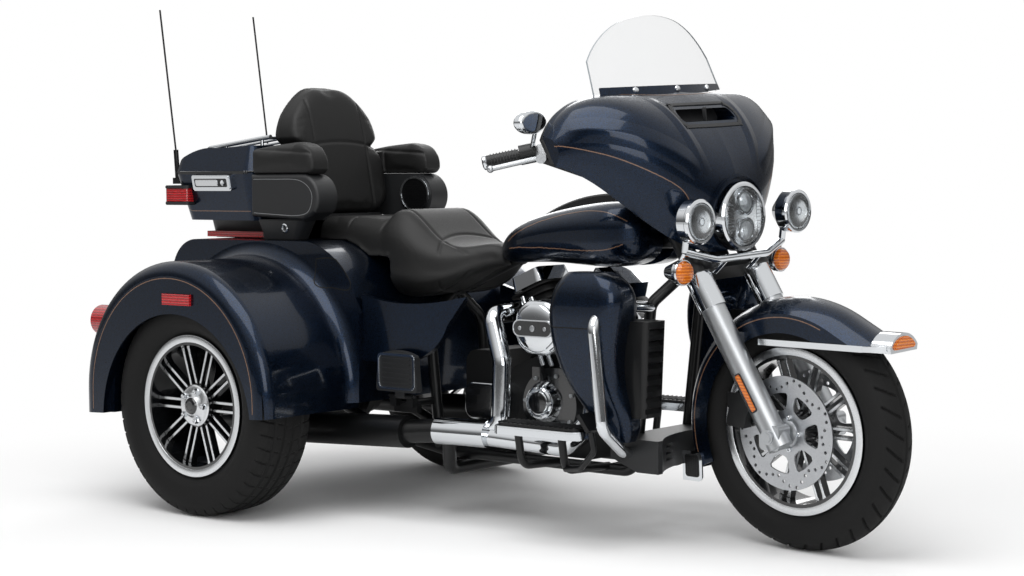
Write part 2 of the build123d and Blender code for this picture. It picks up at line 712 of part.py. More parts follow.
def frame():
    """Steering head, backbone and the cradle rails that carry engine and axle."""
    low = LOWER_YOKE_Z + YOKE_WALL / 2 + 12
    high = UPPER_YOKE_Z - YOKE_WALL / 2 - 10
    body = rod((steer_at(low), 0, low), (steer_at(high), 0, high), HEAD_R)
    body += pipe(backbone_route(), 120, BACKBONE_R)
    for side in SIDES:
        y = side * RAIL_Y
        body += pipe([
            (steer_at(790) - 6, 0, 790), (from_crank(335), y, 640), (from_crank(280), y, RAIL_Z),
            (from_crank(-400), y, RAIL_Z), (from_axle(260), y, RAIL_Z + 40), (REAR_AXLE_X, y, REAR_TYRE_R),
        ], 45, RAIL_R)
        body += pipe([(from_crank(-430), y, RAIL_Z), (from_crank(-470), y, 560),
                      (from_crank(-470), 0, 650)], 60, RAIL_R)
    for dx in (190, -180):
        body += rod((from_crank(dx), -RAIL_Y, RAIL_Z), (from_crank(dx), RAIL_Y, RAIL_Z), CROSS_R)
    return body - rod((steer_at(low - 99), 0, low - 99), (steer_at(high + 99), 0, high + 99), STEM_R + FIT)


def rear_axle(bones):
    """Axle tubes, differential case, flanges and the spindles that the rear wheels turn on."""
    stop = HALF_TRACK + REAR_SPOKE_Y - REAR_HUB_HALF - SEAT_GAP
    body = across(REAR_AXLE_X, 0, REAR_TYRE_R, AXLE_TUBE_R, stop - 20)
    body += across(REAR_AXLE_X, 0, REAR_TYRE_R, DIFF_R, 75)
    body += across(REAR_AXLE_X, 0, REAR_TYRE_R, DIFF_R + 24, 13)
    body += across(REAR_AXLE_X, 0, REAR_TYRE_R, SPINDLE_R, stop + 2 * REAR_HUB_HALF + 14)
    for side in SIDES:
        body += across(REAR_AXLE_X, side * (stop - 10), REAR_TYRE_R, AXLE_TUBE_R + 12, 10)
    return biggest(body - bones)


# Engine
def cylinder_frame(sign):
    """Location at the crank whose Z runs up one cylinder; sign +1 is the front one."""
    return Location((CRANK_X, 0, CRANK_Z)) * Rot(0, sign * V_HALF_DEG, 0)


def intake_place():
    return CRANK_X, CRANK_Z + 211


def engine_case(bones):
    """Crankcase and gearbox."""
    body = across(CRANK_X, 0, CRANK_Z, DECK - 12, CASE_HALF)
    body += block((from_crank(-130), -CASE_HALF, CRANK_Z), (from_crank(130), CASE_HALF, CRANK_Z + DECK))
    gearbox = block((from_crank(-350), -CASE_HALF, CRANK_Z - 130),
                    (from_crank(-60), CASE_HALF, CRANK_Z + 135))
    body += fillet(gearbox.edges().filter_by(Axis.Y), 40)
    body += block((from_crank(-300), -CASE_HALF + 4, RAIL_Z + CROSS_R + SEAT_GAP),
                  (from_crank(110), CASE_HALF - 4, CRANK_Z))
    for sign in (-1, 1):
        body -= cylinder_frame(sign) * Pos(0, 0, DECK) * Cylinder(2 * FIN_R, 4 * FIN_R, align=LOW)
    return biggest(body - bones)


def cylinders():
    """Finned barrels and heads in a V, with room between them for the intake."""
    barrels = []
    pitch = (HEAD_TOP - DECK - 20) / (FIN_COUNT - 1)
    intake_x, intake_z = intake_place()
    for sign in (-1, 1):
        body = Pos(0, 0, DECK) * Cylinder(BARREL_R, HEAD_TOP - DECK, align=LOW)
        for n in range(FIN_COUNT):
            body += Pos(0, 0, DECK + 8 + n * pitch) * extrude(
                RectangleRounded(2 * FIN_R, 2 * FIN_R - 10, FIN_R / 2), amount=FIN_WALL)
        near, far = sorted((CRANK_X + sign * 2, CRANK_X + sign * 3 * HEAD_TOP))
        body = (cylinder_frame(sign) * body) & block((near, -2 * FIN_R, 0), (far, 2 * FIN_R, 3 * HEAD_TOP))
        barrels.append(biggest(body - across(intake_x, 0, intake_z, THROAT_R + SEAT_GAP, 2 * FIN_R)))
    return barrels


def rocker_covers():
    """Bright boxes on the heads, and the pushrod tubes on the right."""
    pieces = []
    foot_z, head_z = CRANK_Z + 103.6, CRANK_Z + 296
    for sign in (-1, 1):
        box = extrude(RectangleRounded(120, 150, 22), amount=ROCKER_HIGH, taper=8)
        pieces.append(biggest(cylinder_frame(sign) * (Pos(0, 0, HEAD_TOP + SEAT_GAP) * box)))
        for shift in (18, 50):
            foot = (from_crank(sign * shift), -FIN_R - 20, foot_z)
            pieces.append(rod(foot, (from_crank(sign * (shift + 74)), -FIN_R - 20, head_z), 9))
    return pieces


def engine_covers():
    """Bright covers: timing cover and gearbox end on the right, primary drive on the left."""
    face_y = -CASE_HALF - SEAT_GAP
    timing = Pos(from_crank(-18), face_y, CRANK_Z - 4) * Rot(90, 0, 0) * Cylinder(96, 26, align=LOW)
    timing += Pos(from_crank(-36), face_y - 24, CRANK_Z + 2) * Rot(90, 0, 0) * Cone(60, 48, 26, align=LOW)
    timing += block((from_crank(-80), face_y - 26, CRANK_Z + 50), (from_crank(80), face_y, CRANK_Z + 100))
    gearbox = slab(xz(face_y), Pos(from_crank(-225), CRANK_Z - 5) * RectangleRounded(150, 110, 34), 70)
    gearbox = fillet(gearbox.faces().sort_by(Axis.Y)[0].edges(), 10)
    primary = slab(xz(CASE_HALF + SEAT_GAP + 90), outline(
        (from_crank(-350), CRANK_Z - 52), ((from_crank(-412), CRANK_Z), (from_crank(-350), CRANK_Z + 52)),
        (CRANK_X, CRANK_Z + 112), ((from_crank(112), CRANK_Z), (CRANK_X, CRANK_Z - 112))), 90)
    primary = fillet(primary.faces().sort_by(Axis.Y)[-1].edges(), 14)
    return [timing, gearbox, primary]


def air_cleaner():
    """Intake housing on the right, on the throat between the cylinders."""
    x, z = intake_place()
    body = slab(xz(-FIN_R - 34), Pos(x + 14, z + 9) * RectangleRounded(160, 152, 62), 100)
    body = fillet(body.faces().sort_by(Axis.Y)[0].edges(), 18)
    return body + across(x, -FIN_R / 2 - 17, z, THROAT_R, FIN_R / 2 + 17)


def exhaust_pipes():
    """Header pipes that drop on the right, join, and cross under to the left silencer."""
    face_y = -FIN_R + 5 - SEAT_GAP
    join = (from_crank(-270), -MUFFLER_Y + 38, MUFFLER_Z)
    rear = pipe([(from_crank(-162), face_y, CRANK_Z + 250), (from_crank(-162), -196, CRANK_Z + 250),
                 (from_crank(-104), -222, CRANK_Z + 120), (from_crank(-104), -234, MUFFLER_Z + 20),
                 join], 36, PIPE_R)
    head = cylinder_frame(1) * Pos(FIN_R + SEAT_GAP, -30, HEAD_TOP - 52)
    bend = cylinder_frame(1) * Pos(FIN_R + 40, -30, HEAD_TOP - 52)
    front = pipe([tuple(head.position), tuple(bend.position), (from_crank(216), -186, CRANK_Z + 170),
                  (from_crank(200), -206, CRANK_Z - 20), (from_crank(120), -226, MUFFLER_Z - 18),
                  join], 32, PIPE_R)
    collector = rod((from_crank(-130), -MUFFLER_Y + 48, MUFFLER_Z),
                    (from_crank(-300), -MUFFLER_Y + 26, MUFFLER_Z),
                    PIPE_R + 12)
    under_z = RAIL_Z - RAIL_R - 26
    cross = pipe([join, (from_crank(-350), -RAIL_Y - 50, under_z), (from_crank(-350), RAIL_Y + 50, under_z),
                  (from_crank(-300), MUFFLER_Y - 26, MUFFLER_Z)], 40, 20)
    return rear + front + collector + cross


def mufflers(pipes):
    """Silencers under the body, one each side."""
    cans = []
    for side in SIDES:
        y = side * MUFFLER_Y
        body = rod((from_crank(-300), side * (MUFFLER_Y - 26), MUFFLER_Z),
                   (from_crank(-410), y, MUFFLER_Z - 10), 34)
        body += rod((from_crank(-390), y, MUFFLER_Z - 8), (from_axle(125), y, MUFFLER_Z - 26), MUFFLER_R)
        body += rod((from_axle(125), y, MUFFLER_Z - 26), (from_axle(-350), y, MUFFLER_Z - 30), 26)
        cans.append(biggest(body - pipes))
    return cans


# Tank, seat and rider's platforms
def fuel_tank():
    """Teardrop tank, saddled over the backbone."""
    body = loft([
        yz(from_crank(dx)) * Pos(0, (low + high) / 2) * RectangleRounded(2 * half, high - low, corner)
        for dx, half, low, high, corner in TANK_ROWS
    ])
    half = BACKBONE_R + MOVE_GAP
    saddle = slab(xz(half), outline(
        (steer_at(815), 815 + half), (from_crank(90), 798 + half), (from_crank(-200), 762 + half),
        (from_crank(-280), 762), (from_crank(-280), 600), (steer_at(815), 600)), 2 * half)
    return biggest(body - saddle)


def tank_console(tank):
    """Raised strip along the tank with its filler cap."""
    strip = slab(xz(34), outline(
        (from_crank(-104), 800), (from_crank(-104), 874), ((from_crank(90), 934), (from_crank(286), 918)),
        (from_crank(286), 860)), 68)
    strip = fillet(strip.edges().filter_by(GeomType.CIRCLE), 8)
    return biggest(strip + Pos(from_crank(190), 0, 900) * Cylinder(26, 34, align=LOW) - tank)


def seat(body, bones):
    """Rider's bucket and the pillion pad, one upholstered piece."""
    nose = from_crank(TANK_ROWS[0][0]) - SEAT_GAP
    faces = [
        yz(nose - dx) * Pos(0, (low + high) / 2) * RectangleRounded(2 * half, high - low, corner)
        for dx, half, low, high, corner in SEAT_ROWS
    ]
    pad = loft(faces[:-1]) + loft(faces[-2:])
    tunnel = pipe([(from_crank(-100), 0, 774), *backbone_route()[2:]], 120, BACKBONE_R + SEAT_GAP)
    hem = SEAT_ROWS[3][0] + 18
    below = block((nose - 700, -BODY_HALF, BODY_LOW), (nose - hem, BODY_HALF, BODY_TOP - 45))
    return biggest(pad - below - body - tunnel - bones)


def side_covers():
    """Painted panels below the seat, curving in from the body to a point."""
    back, tip = from_axle(BODY_AHEAD + SEAT_GAP), from_crank(-232)
    strip = slab(Plane.XY.offset(440), outline(
        (back, -322), (((back + tip) / 2, -296), (tip, -226)), (tip - 8, -208),
        (((back + tip) / 2 - 4, -276), (back, -302))), 300)
    panel = slab(xz(-180), outline(
        (back, 452), (back, 646), ((back + 150, 622), (tip, 644)), (tip - 50, 560),
        ((tip - 120, 470), (tip - 190, 452))),
        200)
    return both(strip & panel)


def rider_boards(bones):
    """Footboards on brackets from the cradle, and the pedals ahead of them."""
    low, out = 292.0, 402.0
    plate = block((from_crank(0), -out, low), (from_crank(296), -300, low + 18))
    mat = block((from_crank(10), -out + 8, low + 18), (from_crank(286), -308, low + 30))
    board = fillet(plate.edges().filter_by(Axis.Z), 34) + fillet(mat.edges().filter_by(Axis.Z), 28)
    for dx in (40, 190):
        board += pipe([(from_crank(dx), -330, low + 4), (from_crank(dx), -312, 196),
                       (from_crank(dx), -RAIL_Y, RAIL_Z + 8)], 40, 11)
    pad = Pos(from_crank(312), -366, 340) * Rot(0, -38, 0) * Box(12, 56, 54)
    lever = pipe([(from_crank(312), -362, 336), (from_crank(318), -352, 262), (from_crank(262), -336, 212),
                  (from_crank(190), -312, 200)], 24, 8)
    return both(biggest(board - bones), biggest(pad + lever - board - bones))


def engine_guard(bones):
    """Bright crash bars outside the leg shields."""
    hoop = pipe([(from_crank(334), -RAIL_Y, 630), (from_crank(330), -250, 640), (from_crank(352), -402, 612),
                 (from_crank(382), -402, 330), (from_crank(372), -300, 262),
                 (from_crank(285), -RAIL_Y, 222)], 40, 16)
    return biggest(hoop - bones)


def leg_shields(guard):
    """Painted lower fairings, grooved for the crash bars."""
    body = loft([
        Plane(origin=(from_crank((rear + front) / 2), -(inner + outer) / 2, z))
        * RectangleRounded(front - rear, outer - inner, corner)
        for z, rear, front, inner, outer, corner in SHIELD_ROWS
    ])
    return biggest(body - guard)


def radiators(shield, guard):
    """Louvred coolers on the leg shields' front edges."""
    low, high, count = 352.0, 606.0, 8
    body = loft([
        Plane(origin=(from_crank(400), -256, low)) * RectangleRounded(84, 84, 14),
        Plane(origin=(from_crank(410), -262, high)) * RectangleRounded(92, 92, 14),
    ])
    for n in range(count):
        z = low + 24 + n * (high - low - 48) / (count - 1)
        body -= Pos(from_crank(466), -259, z) * Rot(0, -14, 0) * Box(56, 68, 14)
    return biggest(body - shield - guard)


def lower_cowl(bones, pipes, guard):
    """Chin cowl ahead of the cradle, hollowed for the steered wheel, with louvred windows."""
    reach, low, high = 235.0, 198.0, 286.0
    back, front, hollow = from_crank(284), from_crank(440), from_crank(374)
    plan = outline((back, -reach), (front, -reach), (front, 20 - reach), ((hollow, 0), (front, reach - 20)),
                   (front, reach), (back, reach))
    body = slab(Plane.XY.offset(low), plan, high - low)
    wedge = outline((back - 1, low - 1), (back - 1, low + 34), (back + 90, low - 1))
    ramp = slab(xz(reach + 1), wedge, 2 * reach + 2)
    for side in SIDES:
        for z in (low + 26, low + 44, low + 62):
            body -= Pos(hollow + 22, side * 112, z) * Rot(0, 0, side * 30) * Box(40, 92, 9)
    return biggest(body - ramp - bones - pipes - guard - mirror(guard, about=Plane.XZ))


# Rear body and boot
def arch_face():
    """Side outline of a rear wheel arch."""
    x = from_axle(-ARCH_BACK)
    return outline((x - ARCH_R, 278), (x - ARCH_R, ARCH_Z), ((x, ARCH_Z + ARCH_R), (x + ARCH_R, ARCH_Z)),
                   (x + ARCH_R, 312))


def arch_blend():
    """Hollow sweep from the right arch's crown up to the body's side."""
    size, lap = BODY_BLEND, 2.0
    ring = Pos((lap - size) / 2, ARCH_R + (size - lap) / 2) * Rectangle(size + lap, size + lap)
    ring -= Pos(-size, ARCH_R + size) * Circle(size)
    return turned(ring, from_axle(-ARCH_BACK), ARCH_Z, -BODY_HALF)


def wheel_well():
    """Space for the right rear wheel, out through the skirt."""
    skirt_y = -ARCH_OUT + SKIRT_WALL
    mid, half = (skirt_y - WELL_IN) / 2, (-WELL_IN - skirt_y) / 2
    room = across(REAR_AXLE_X, mid, REAR_TYRE_R, WELL_R, half)
    room += block((from_axle(-WELL_R), skirt_y, 0), (from_axle(WELL_R), -WELL_IN, REAR_TYRE_R))
    x = from_axle(-SKIRT_CUT_BACK)
    room += across(x, skirt_y - 20, SKIRT_CUT_Z, SKIRT_CUT_R, 40)
    room += block((x - SKIRT_CUT_R, skirt_y - 60, 0), (x + SKIRT_CUT_R, skirt_y + 20, SKIRT_CUT_Z))
    return room


def rear_body():
    """Painted rear body with both wheel arches, hollow behind for the boot."""
    back, ahead = from_axle(-BODY_BACK), from_axle(BODY_AHEAD)
    side = outline(
        (back, BODY_LOW), (back, BODY_TOP - 105), ((back + 34, BODY_TOP - 31), (back + 110, BODY_TOP)),
        (ahead - 210, BODY_TOP), ((ahead - 62, BODY_TOP - 79), (ahead, BODY_TOP - 205)), (ahead, 330))
    centre = slab(xz(BODY_HALF), side, 2 * BODY_HALF)
    arch = slab(xz(-BODY_HALF + 20), arch_face(), ARCH_OUT - BODY_HALF + 20)
    arch = fillet(arch.faces().sort_by(Axis.Y)[0].edges().filter_by(GeomType.CIRCLE), ARCH_EDGE)
    arch += arch_blend() & slab(xz(-BODY_HALF), side, BODY_BLEND)
    well = wheel_well()
    body = centre + arch + mirror(arch, about=Plane.XZ)
    body -= well + mirror(well, about=Plane.XZ)
    body -= block((from_axle(-155), -WELL_IN - 1, 0), (from_axle(145), WELL_IN + 1, TUNNEL_Z))
    boot = block((back - 50, -BOOT_HALF, BOOT_LOW), (back + BOOT_DEEP, BOOT_HALF, BOOT_HIGH))
    body = body - fillet(boot.edges().filter_by(Axis.X), 30)
    return body + door_knuckles((-KNUCKLE, KNUCKLE)) - door_pin(PIN_R + FIT)


def door_axis():
    """X and Z of the boot door's hinge pins, behind its lower edge."""
    return from_axle(-BODY_BACK) - HINGE_R - 2, BOOT_LOW - 4


def door_pin(radius):
    x, z = door_axis()
    return [across(x, side * DOOR_HINGE_Y, z, radius, 1.6 * KNUCKLE) for side in SIDES]


def door_knuckles(shifts):
    """Body-side hinge eyes, at these shifts along each hinge."""
    x, z = door_axis()
    eyes = []
    for side in SIDES:
        for shift in shifts:
            y = side * DOOR_HINGE_Y + shift
            half = KNUCKLE / 2 - FIT
            eyes.append(across(x, y, z, HINGE_R, half) + block((x, y - half, z - HINGE_R),
                                                                (x + HINGE_R + 12, y + half, z)))
    return eyes


def boot_door():
    """Boot door with its hinge eyes and pins."""
    back = from_axle(-BODY_BACK)
    door = block((back, -BOOT_HALF + MOVE_GAP, BOOT_LOW + MOVE_GAP),
                 (back + DOOR_WALL, BOOT_HALF - MOVE_GAP, BOOT_HIGH - MOVE_GAP))
    door = fillet(door.edges().filter_by(Axis.X), 26)
    x, z = door_axis()
    for side in SIDES:
        y = side * DOOR_HINGE_Y
        half = KNUCKLE / 2 - FIT
        door += across(x, y, z, HINGE_R, half)
        door += block((x - HINGE_R, y - half, z), (x, y + half, z + 40))
        door += block((x - HINGE_R, y - half, z + 24), (back + 2, y + half, z + 40))
        door += across(x, y, z, PIN_R, 1.5 * KNUCKLE)
    return door


def tail_lamps(body, case, carrier):
    """Red lenses: arch ends, arch sides, top case corners and the bar below the case."""
    lens = along(from_axle(-478), -588, 552, 46, 120)
    marker = block((from_axle(-67), -ARCH_OUT - 9, 620), (from_axle(51), -ARCH_OUT - SEAT_GAP, 652))
    rear = from_axle(-CASE_FRONT - CASE_LONG)
    pod = block((rear - 20, -CASE_WIDE / 2 - 14, CASE_SEAM - 104),
                (rear + 84, -CASE_WIDE / 2 + 70, CASE_SEAM - 46))
    pod = fillet(pod.edges().filter_by(Axis.Z), 14)
    strip = block((from_axle(-420), -206, BODY_TOP + 3), (from_axle(-160), -150, BODY_TOP + 21))
    return both(biggest(lens - body), marker, biggest(pod - case), biggest(strip - carrier))


# Top case
def case_plan(z, spread, inset=0.0):
    """Plan of the top case at a height; spread runs from 0 at its floor to 1 at its seam."""
    front = from_axle(-CASE_FRONT) - inset
    rear = from_axle(-CASE_FRONT - CASE_LONG) + CASE_TAPER_BACK * (1 - spread) + inset
    half = CASE_WIDE / 2 - CASE_TAPER_SIDE * (1 - spread) - inset
    plane = Plane(origin=((front + rear) / 2, 0, z))
    return plane * RectangleRounded(front - rear, 2 * half, CASE_CORNER - inset)


def case_carrier():
    """Tray that carries the top case on the body."""
    mid = from_axle(-CASE_FRONT - CASE_LONG / 2)
    low = Plane(origin=(mid + 24, 0, BODY_TOP)) * RectangleRounded(300, 340, 40)
    high = Plane(origin=(mid + 18, 0, CASE_FLOOR)) * RectangleRounded(280, 380, 40)
    return loft([low, high])


def trunk_base():
    """Lower half of the top case, open above, with its hinge eyes and latch plate."""
    high = CASE_SEAM - MOVE_GAP
    body = loft([case_plan(CASE_FLOOR, 0.0), case_plan(high, 1.0)])
    inner = loft([case_plan(CASE_FLOOR + CASE_WALL, 0.04, CASE_WALL), case_plan(high + 1, 1.0, CASE_WALL)])
    return body - inner + lid_knuckles((-KNUCKLE, KNUCKLE)) - lid_pins(PIN_R + FIT)


def lid_axis():
    """Y and Z of the lid's hinge pins, on the left."""
    return CASE_WIDE / 2 + HINGE_R + 2, CASE_SEAM - MOVE_GAP / 2


def lid_pins(radius):
    y, z = lid_axis()
    mid = from_axle(-CASE_FRONT - CASE_LONG / 2)
    return [along(mid + s * LID_HINGE_X - 1.6 * KNUCKLE, y, z, radius, 3.2 * KNUCKLE) for s in SIDES]


def lid_knuckles(shifts):
    """Hinge eyes on the case's left wall."""
    y, z = lid_axis()
    mid = from_axle(-CASE_FRONT - CASE_LONG / 2)
    half = KNUCKLE / 2 - FIT
    eyes = []
    for s in SIDES:
        for shift in shifts:
            x = mid + s * LID_HINGE_X + shift
            eye = along(x - half, y, z, HINGE_R, 2 * half)
            eye += block((x - half, CASE_WIDE / 2 - 7, z - HINGE_R - 14), (x + half, y, z - HINGE_R + 4))
            eye += block((x - half, y - 4, z - HINGE_R - 14), (x + half, y + 4, z))
            eyes.append(eye)
    return eyes


def lid_solid(inset):
    """Lid's outer form, or its hollow when inset: a rising side profile cut to the case's plan."""
    front, rear = from_axle(-CASE_FRONT) - inset, from_axle(-CASE_FRONT - CASE_LONG) + inset
    low, high = CASE_SEAM - (1 if inset else 0), CASE_SEAM + CASE_LID - inset
    profile = slab(xz(CASE_WIDE), outline(
        (rear, low), (rear + 4, CASE_SEAM + 0.25 * CASE_LID),
        ((rear + 74, high - 0.27 * CASE_LID), (rear + 190, high - 8)),
        (front, high), (front, low)), 2 * CASE_WIDE)
    return profile & loft([case_plan(low, 1.0, inset), case_plan(CASE_SEAM + CASE_LID + 1, 1.0, inset + 26)])


def trunk_lid():
    """Upper half of the top case, hollow below, with its hinge eyes and pins."""
    mid = from_axle(-CASE_FRONT - CASE_LONG / 2)
    body = lid_solid(0.0)
    y, z = lid_axis()
    half = KNUCKLE / 2 - FIT
    for s in SIDES:
        x = mid + s * LID_HINGE_X
        body += along(x - half, y, z, HINGE_R, 2 * half)
        body += block((x - half, CASE_WIDE / 2 - 8, CASE_SEAM + 2), (x + half, y + 4, CASE_SEAM + 14))
        body += block((x - half, y - 4, z), (x + half, y + 4, CASE_SEAM + 14))
    body -= lid_solid(CASE_WALL)
    for pin in lid_pins(PIN_R):
        body += pin
    return body


def trunk_latch():
    """Bright latch plate on the case's right wall."""
    mid = from_axle(-CASE_FRONT - CASE_LONG / 2)
    lean = CASE_TAPER_SIDE / (CASE_SEAM - MOVE_GAP - CASE_FLOOR)
    z = CASE_SEAM - 36
    y = CASE_WIDE / 2 - lean * (CASE_SEAM - MOVE_GAP - z)
    tilt = math.degrees(math.atan(lean))
    plate = fillet(Box(176, 12, 50).edges().filter_by(Axis.Y), 8)
    return Pos(mid + 6, -y - SEAT_GAP - 6, z) * Rot(tilt, 0, 0) * plate


def trunk_rack(lid):
    """Luggage rack that rises forward over the lid, on four posts."""
    front, rear = from_axle(-CASE_FRONT) - 34, from_axle(-CASE_FRONT - CASE_LONG) + 26
    low, high, wide = CASE_SEAM + CASE_LID - 10, CASE_SEAM + CASE_LID + 26, RACK_HALF

    def on_rack(x, y):
        return (x, y, low + (high - low) * (x - rear) / (front - rear))

    rack = pipe([on_rack(front, -wide), on_rack(rear, -wide),
                 on_rack(rear, wide), on_rack(front, wide)], 50, 7)
    rack += rod(on_rack(front - 20, -wide), on_rack(front - 20, wide), 6)
    for y in (-wide / 2, 0, wide / 2):
        rack += rod(on_rack(front - 20, y), on_rack(rear, y), 4.5)
    for x in (front - 40, rear + 110):
        for y in (-wide, wide):
            rack += rod((x, y, CASE_SEAM + CASE_LID / 2), on_rack(x, y), 5.5)
    return biggest(rack - lid)


def antennas(case, lamps):
    """Whip aerials on brackets behind the top case."""
    rear = from_axle(-CASE_FRONT - CASE_LONG)
    y, base = -AERIAL_Y, CASE_SEAM - 40
    mast = rod((rear - 56, y, base + 4), (rear - 64, y, base + 110), 8)
    mast += rod((rear - 63, y, base + 100), (rear - 131, y, base + AERIAL_HIGH + 18), 3)
    mast += block((rear - 68, y - 12, base), (rear + 8, y + 12, base + 20))
    return both(biggest(mast - case - lamps))


def backrest():
    """Pillion backrest pad: broad below, narrower at the shoulders, thinner to its rounded top."""
    low, neck, high = BODY_TOP + 72, 1088.0, 1270.0
    wide, narrow, deep = 410.0, 284.0, 118.0
    shape = Pos(0, (low + neck) / 2) * RectangleRounded(wide, neck - low, 76)
    shape += Pos(0, (neck + high) / 2 - 50) * RectangleRounded(narrow, high - neck + 100, 104)
    back = from_axle(-PAD_BACK)
    pad = extrude(yz(back) * shape, amount=deep)
    lean = slab(xz(wide), outline(
        (back, low - 1), (back + deep, low - 1), ((back + deep - 24, neck), (back + 44, high + 1)),
        (back, high + 1)), 2 * wide)
    pad = biggest(pad & lean)
    return fillet(pad.faces().sort_by(Axis.X)[-1].edges(), 20)


def arm_pads(rest):
    """Padded arms that wrap round from the backrest."""
    back, low = from_axle(-PAD_BACK) + 1, ARM_LOW
    arm = slab(xz(-216), outline((back, low), (back, low + 78), (from_axle(54), low + 92),
                                 ((from_axle(140), low + 56), (from_axle(146), low + 16)),
                                 (from_axle(130), low)), 78)
    arm = fillet(arm.faces().sort_by(Axis.Y)[0].edges(), 16)
    arm += block((back, -217, low + 3), (from_axle(-40), -170, low + 70))
    return both(biggest(arm - rest))


def speaker_pods():
    """Speaker housings under the arm pads, on the case's front."""
    back, top = from_axle(-PAD_BACK) + 1, ARM_LOW - SEAT_GAP
    pod = slab(xz(-212), outline((back, 866), (back, top), (from_axle(96), top),
                                 ((from_axle(166), 950), (from_axle(156), 880)), (from_axle(106), 856)), 84)
    pod = fillet(pod.faces().sort_by(Axis.Y)[0].edges(), 12)
    pod += block((from_axle(SEAT_GAP - CASE_FRONT), -260, CASE_FLOOR + 60),
                 (back + 1, -215, CASE_FLOOR + 120))
    return both(pod)


# Passenger boards
def passenger_board():
    """Right pillion footboard, folded up, with its hinge pin."""
    mid, half, y, z = from_axle(BOARD_AHEAD), BOARD_HALF, -BOARD_HINGE_Y, BOARD_HINGE_Z
    plate = slab(xz(y - 2), outline(
        (mid - half, z + 14), (mid - half + 10, z + BOARD_HIGH - 14),
        ((mid, z + BOARD_HIGH), (mid + half - 10, z + BOARD_HIGH - 14)), (mid + half, z + 14)), 22)
    plate = fillet(plate.edges().filter_by(Axis.Y), 9)
    eye = along(mid - 18, y, z, HINGE_R, 36)
    eye += block((mid - 18, y - 10, z), (mid + 18, y - 2, z + 16))
    eye += along(mid - 50, y, z, PIN_R, 100)
    return plate + eye


def board_brackets(bones):
    """Fixed arms with the eyes that the passenger boards fold on."""
    mid, y = from_axle(BOARD_AHEAD), -BOARD_HINGE_Y
    arm = pipe([(from_crank(-452), -RAIL_Y, BOARD_HINGE_Z - 34),
                (from_crank(-452), -RAIL_Y - 96, BOARD_HINGE_Z - 34),
                (mid, y + 30, BOARD_HINGE_Z - 34)], 30, 11)
    arm += block((mid - 44, y + 14, BOARD_HINGE_Z - 48), (mid + 44, y + 34, BOARD_HINGE_Z - 20))
    for s in SIDES:
        x = mid + s * 32
        arm += along(x - 12, y, BOARD_HINGE_Z, HINGE_R, 24)
        arm += block((x - 12, y - 4, BOARD_HINGE_Z - 30), (x + 12, y + 20, BOARD_HINGE_Z - 2))
    arm -= along(mid - 60, y, BOARD_HINGE_Z, PIN_R + FIT, 120)
    return both(biggest(arm - bones))


# Assembly
def steered_pieces():
    bar = handlebar()
    shell = fairing()
    yokes = fork_yokes(bar)
    panel = dash(shell, yokes)
    guard = front_guard()
    lamps = spot_lamps(yokes)
    return {
        "front_tyre": front_tyre(),
        "front_rim": front_rim(),
        "front_discs": front_discs(),
        "fork_yokes": yokes,
        "fork_covers": fork_covers(),
        "fork_sliders": fork_sliders(),
        "front_calipers": front_calipers(),
        "front_guard": guard,
        "guard_trim": guard_trim(guard),
        "fairing": shell,
        "fairing_bracket": fairing_bracket(shell, panel, yokes),
        "dash": panel,
        "windscreen": windscreen(shell),
        "headlamp": headlamp(),
        "spot_lamps": lamps,
        "turn_signals": turn_signals(lamps),
        "handlebar": bar,
        "hand_controls": hand_controls(bar),
        "mirrors": mirrors(bar),
    }


def fixed_pieces():
    bones = frame()
    pipes = exhaust_pipes()
    crash_bar = engine_guard(bones)
    shield = leg_shields(crash_bar)
    body = rear_body()
    tank = fuel_tank()
    case = trunk_base()
    carrier = case_carrier()
    lamps = tail_lamps(body, case, carrier)
    rest = backrest()
    lid = trunk_lid()
    board = passenger_board()
    return {
        "rear_tyre_right": rear_tyre(RIGHT),
        "rear_tyre_left": rear_tyre(LEFT),
        "rear_rim_right": rear_rim(RIGHT),
        "rear_rim_left": rear_rim(LEFT),
        "frame": bones,
        "rear_axle": rear_axle(bones),
        "engine_case": engine_case(bones),
        "cylinders": cylinders(),
        "rocker_covers": rocker_covers(),
        "engine_covers": engine_covers(),
        "air_cleaner": air_cleaner(),
        "exhaust_pipes": pipes,
        "mufflers": mufflers(pipes),
        "fuel_tank": tank,
        "tank_console": tank_console(tank),
        "seat": seat(body, bones),
        "side_covers": side_covers(),
        "rider_boards": rider_boards(bones),
        "engine_guard": both(crash_bar),
        "leg_shields": both(shield),
        "radiators": both(radiators(shield, crash_bar)),
        "lower_cowl": lower_cowl(bones, pipes, crash_bar),
        "rear_body": body,
        "boot_door": boot_door(),
        "tail_lamps": lamps,
        "case_carrier": carrier,
        "trunk_base": case,
        "trunk_lid": lid,
        "trunk_latch": trunk_latch(),
        "trunk_rack": trunk_rack(lid),
        "antennas": antennas(case, lamps),
        "backrest": rest,
        "arm_pads": arm_pads(rest),
        "speaker_pods": speaker_pods(),
        "board_brackets": board_brackets(bones),
        "passenger_board_right": board,
        "passenger_board_left": mirror(board, about=Plane.XZ),
    }


def export(name, shape, steer_deg=0.0):
    pieces = shape if isinstance(shape, list) else [shape]
    solids = [s for piece in pieces for s in piece.solids()]
    if steer_deg:
        solids = [s.rotate(STEER_AXIS, steer_deg) for s in solids]
    whole = solids[0] if len(solids) == 1 else Compound(children=solids)
    export_step(whole, os.path.join("parts", name + ".step"))


def main():
    os.makedirs("parts", exist_ok=True)
    for name, shape in steered_pieces().items():
        export(name, shape, PARKED_STEER_DEG)
    for name, shape in fixed_pieces().items():
        export(name, shape)


if __name__ == "__main__":
    main()
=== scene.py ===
import math

import bmesh
import bpy
import numpy as np
from mathutils import Matrix, Vector
from mathutils.bvhtree import BVHTree


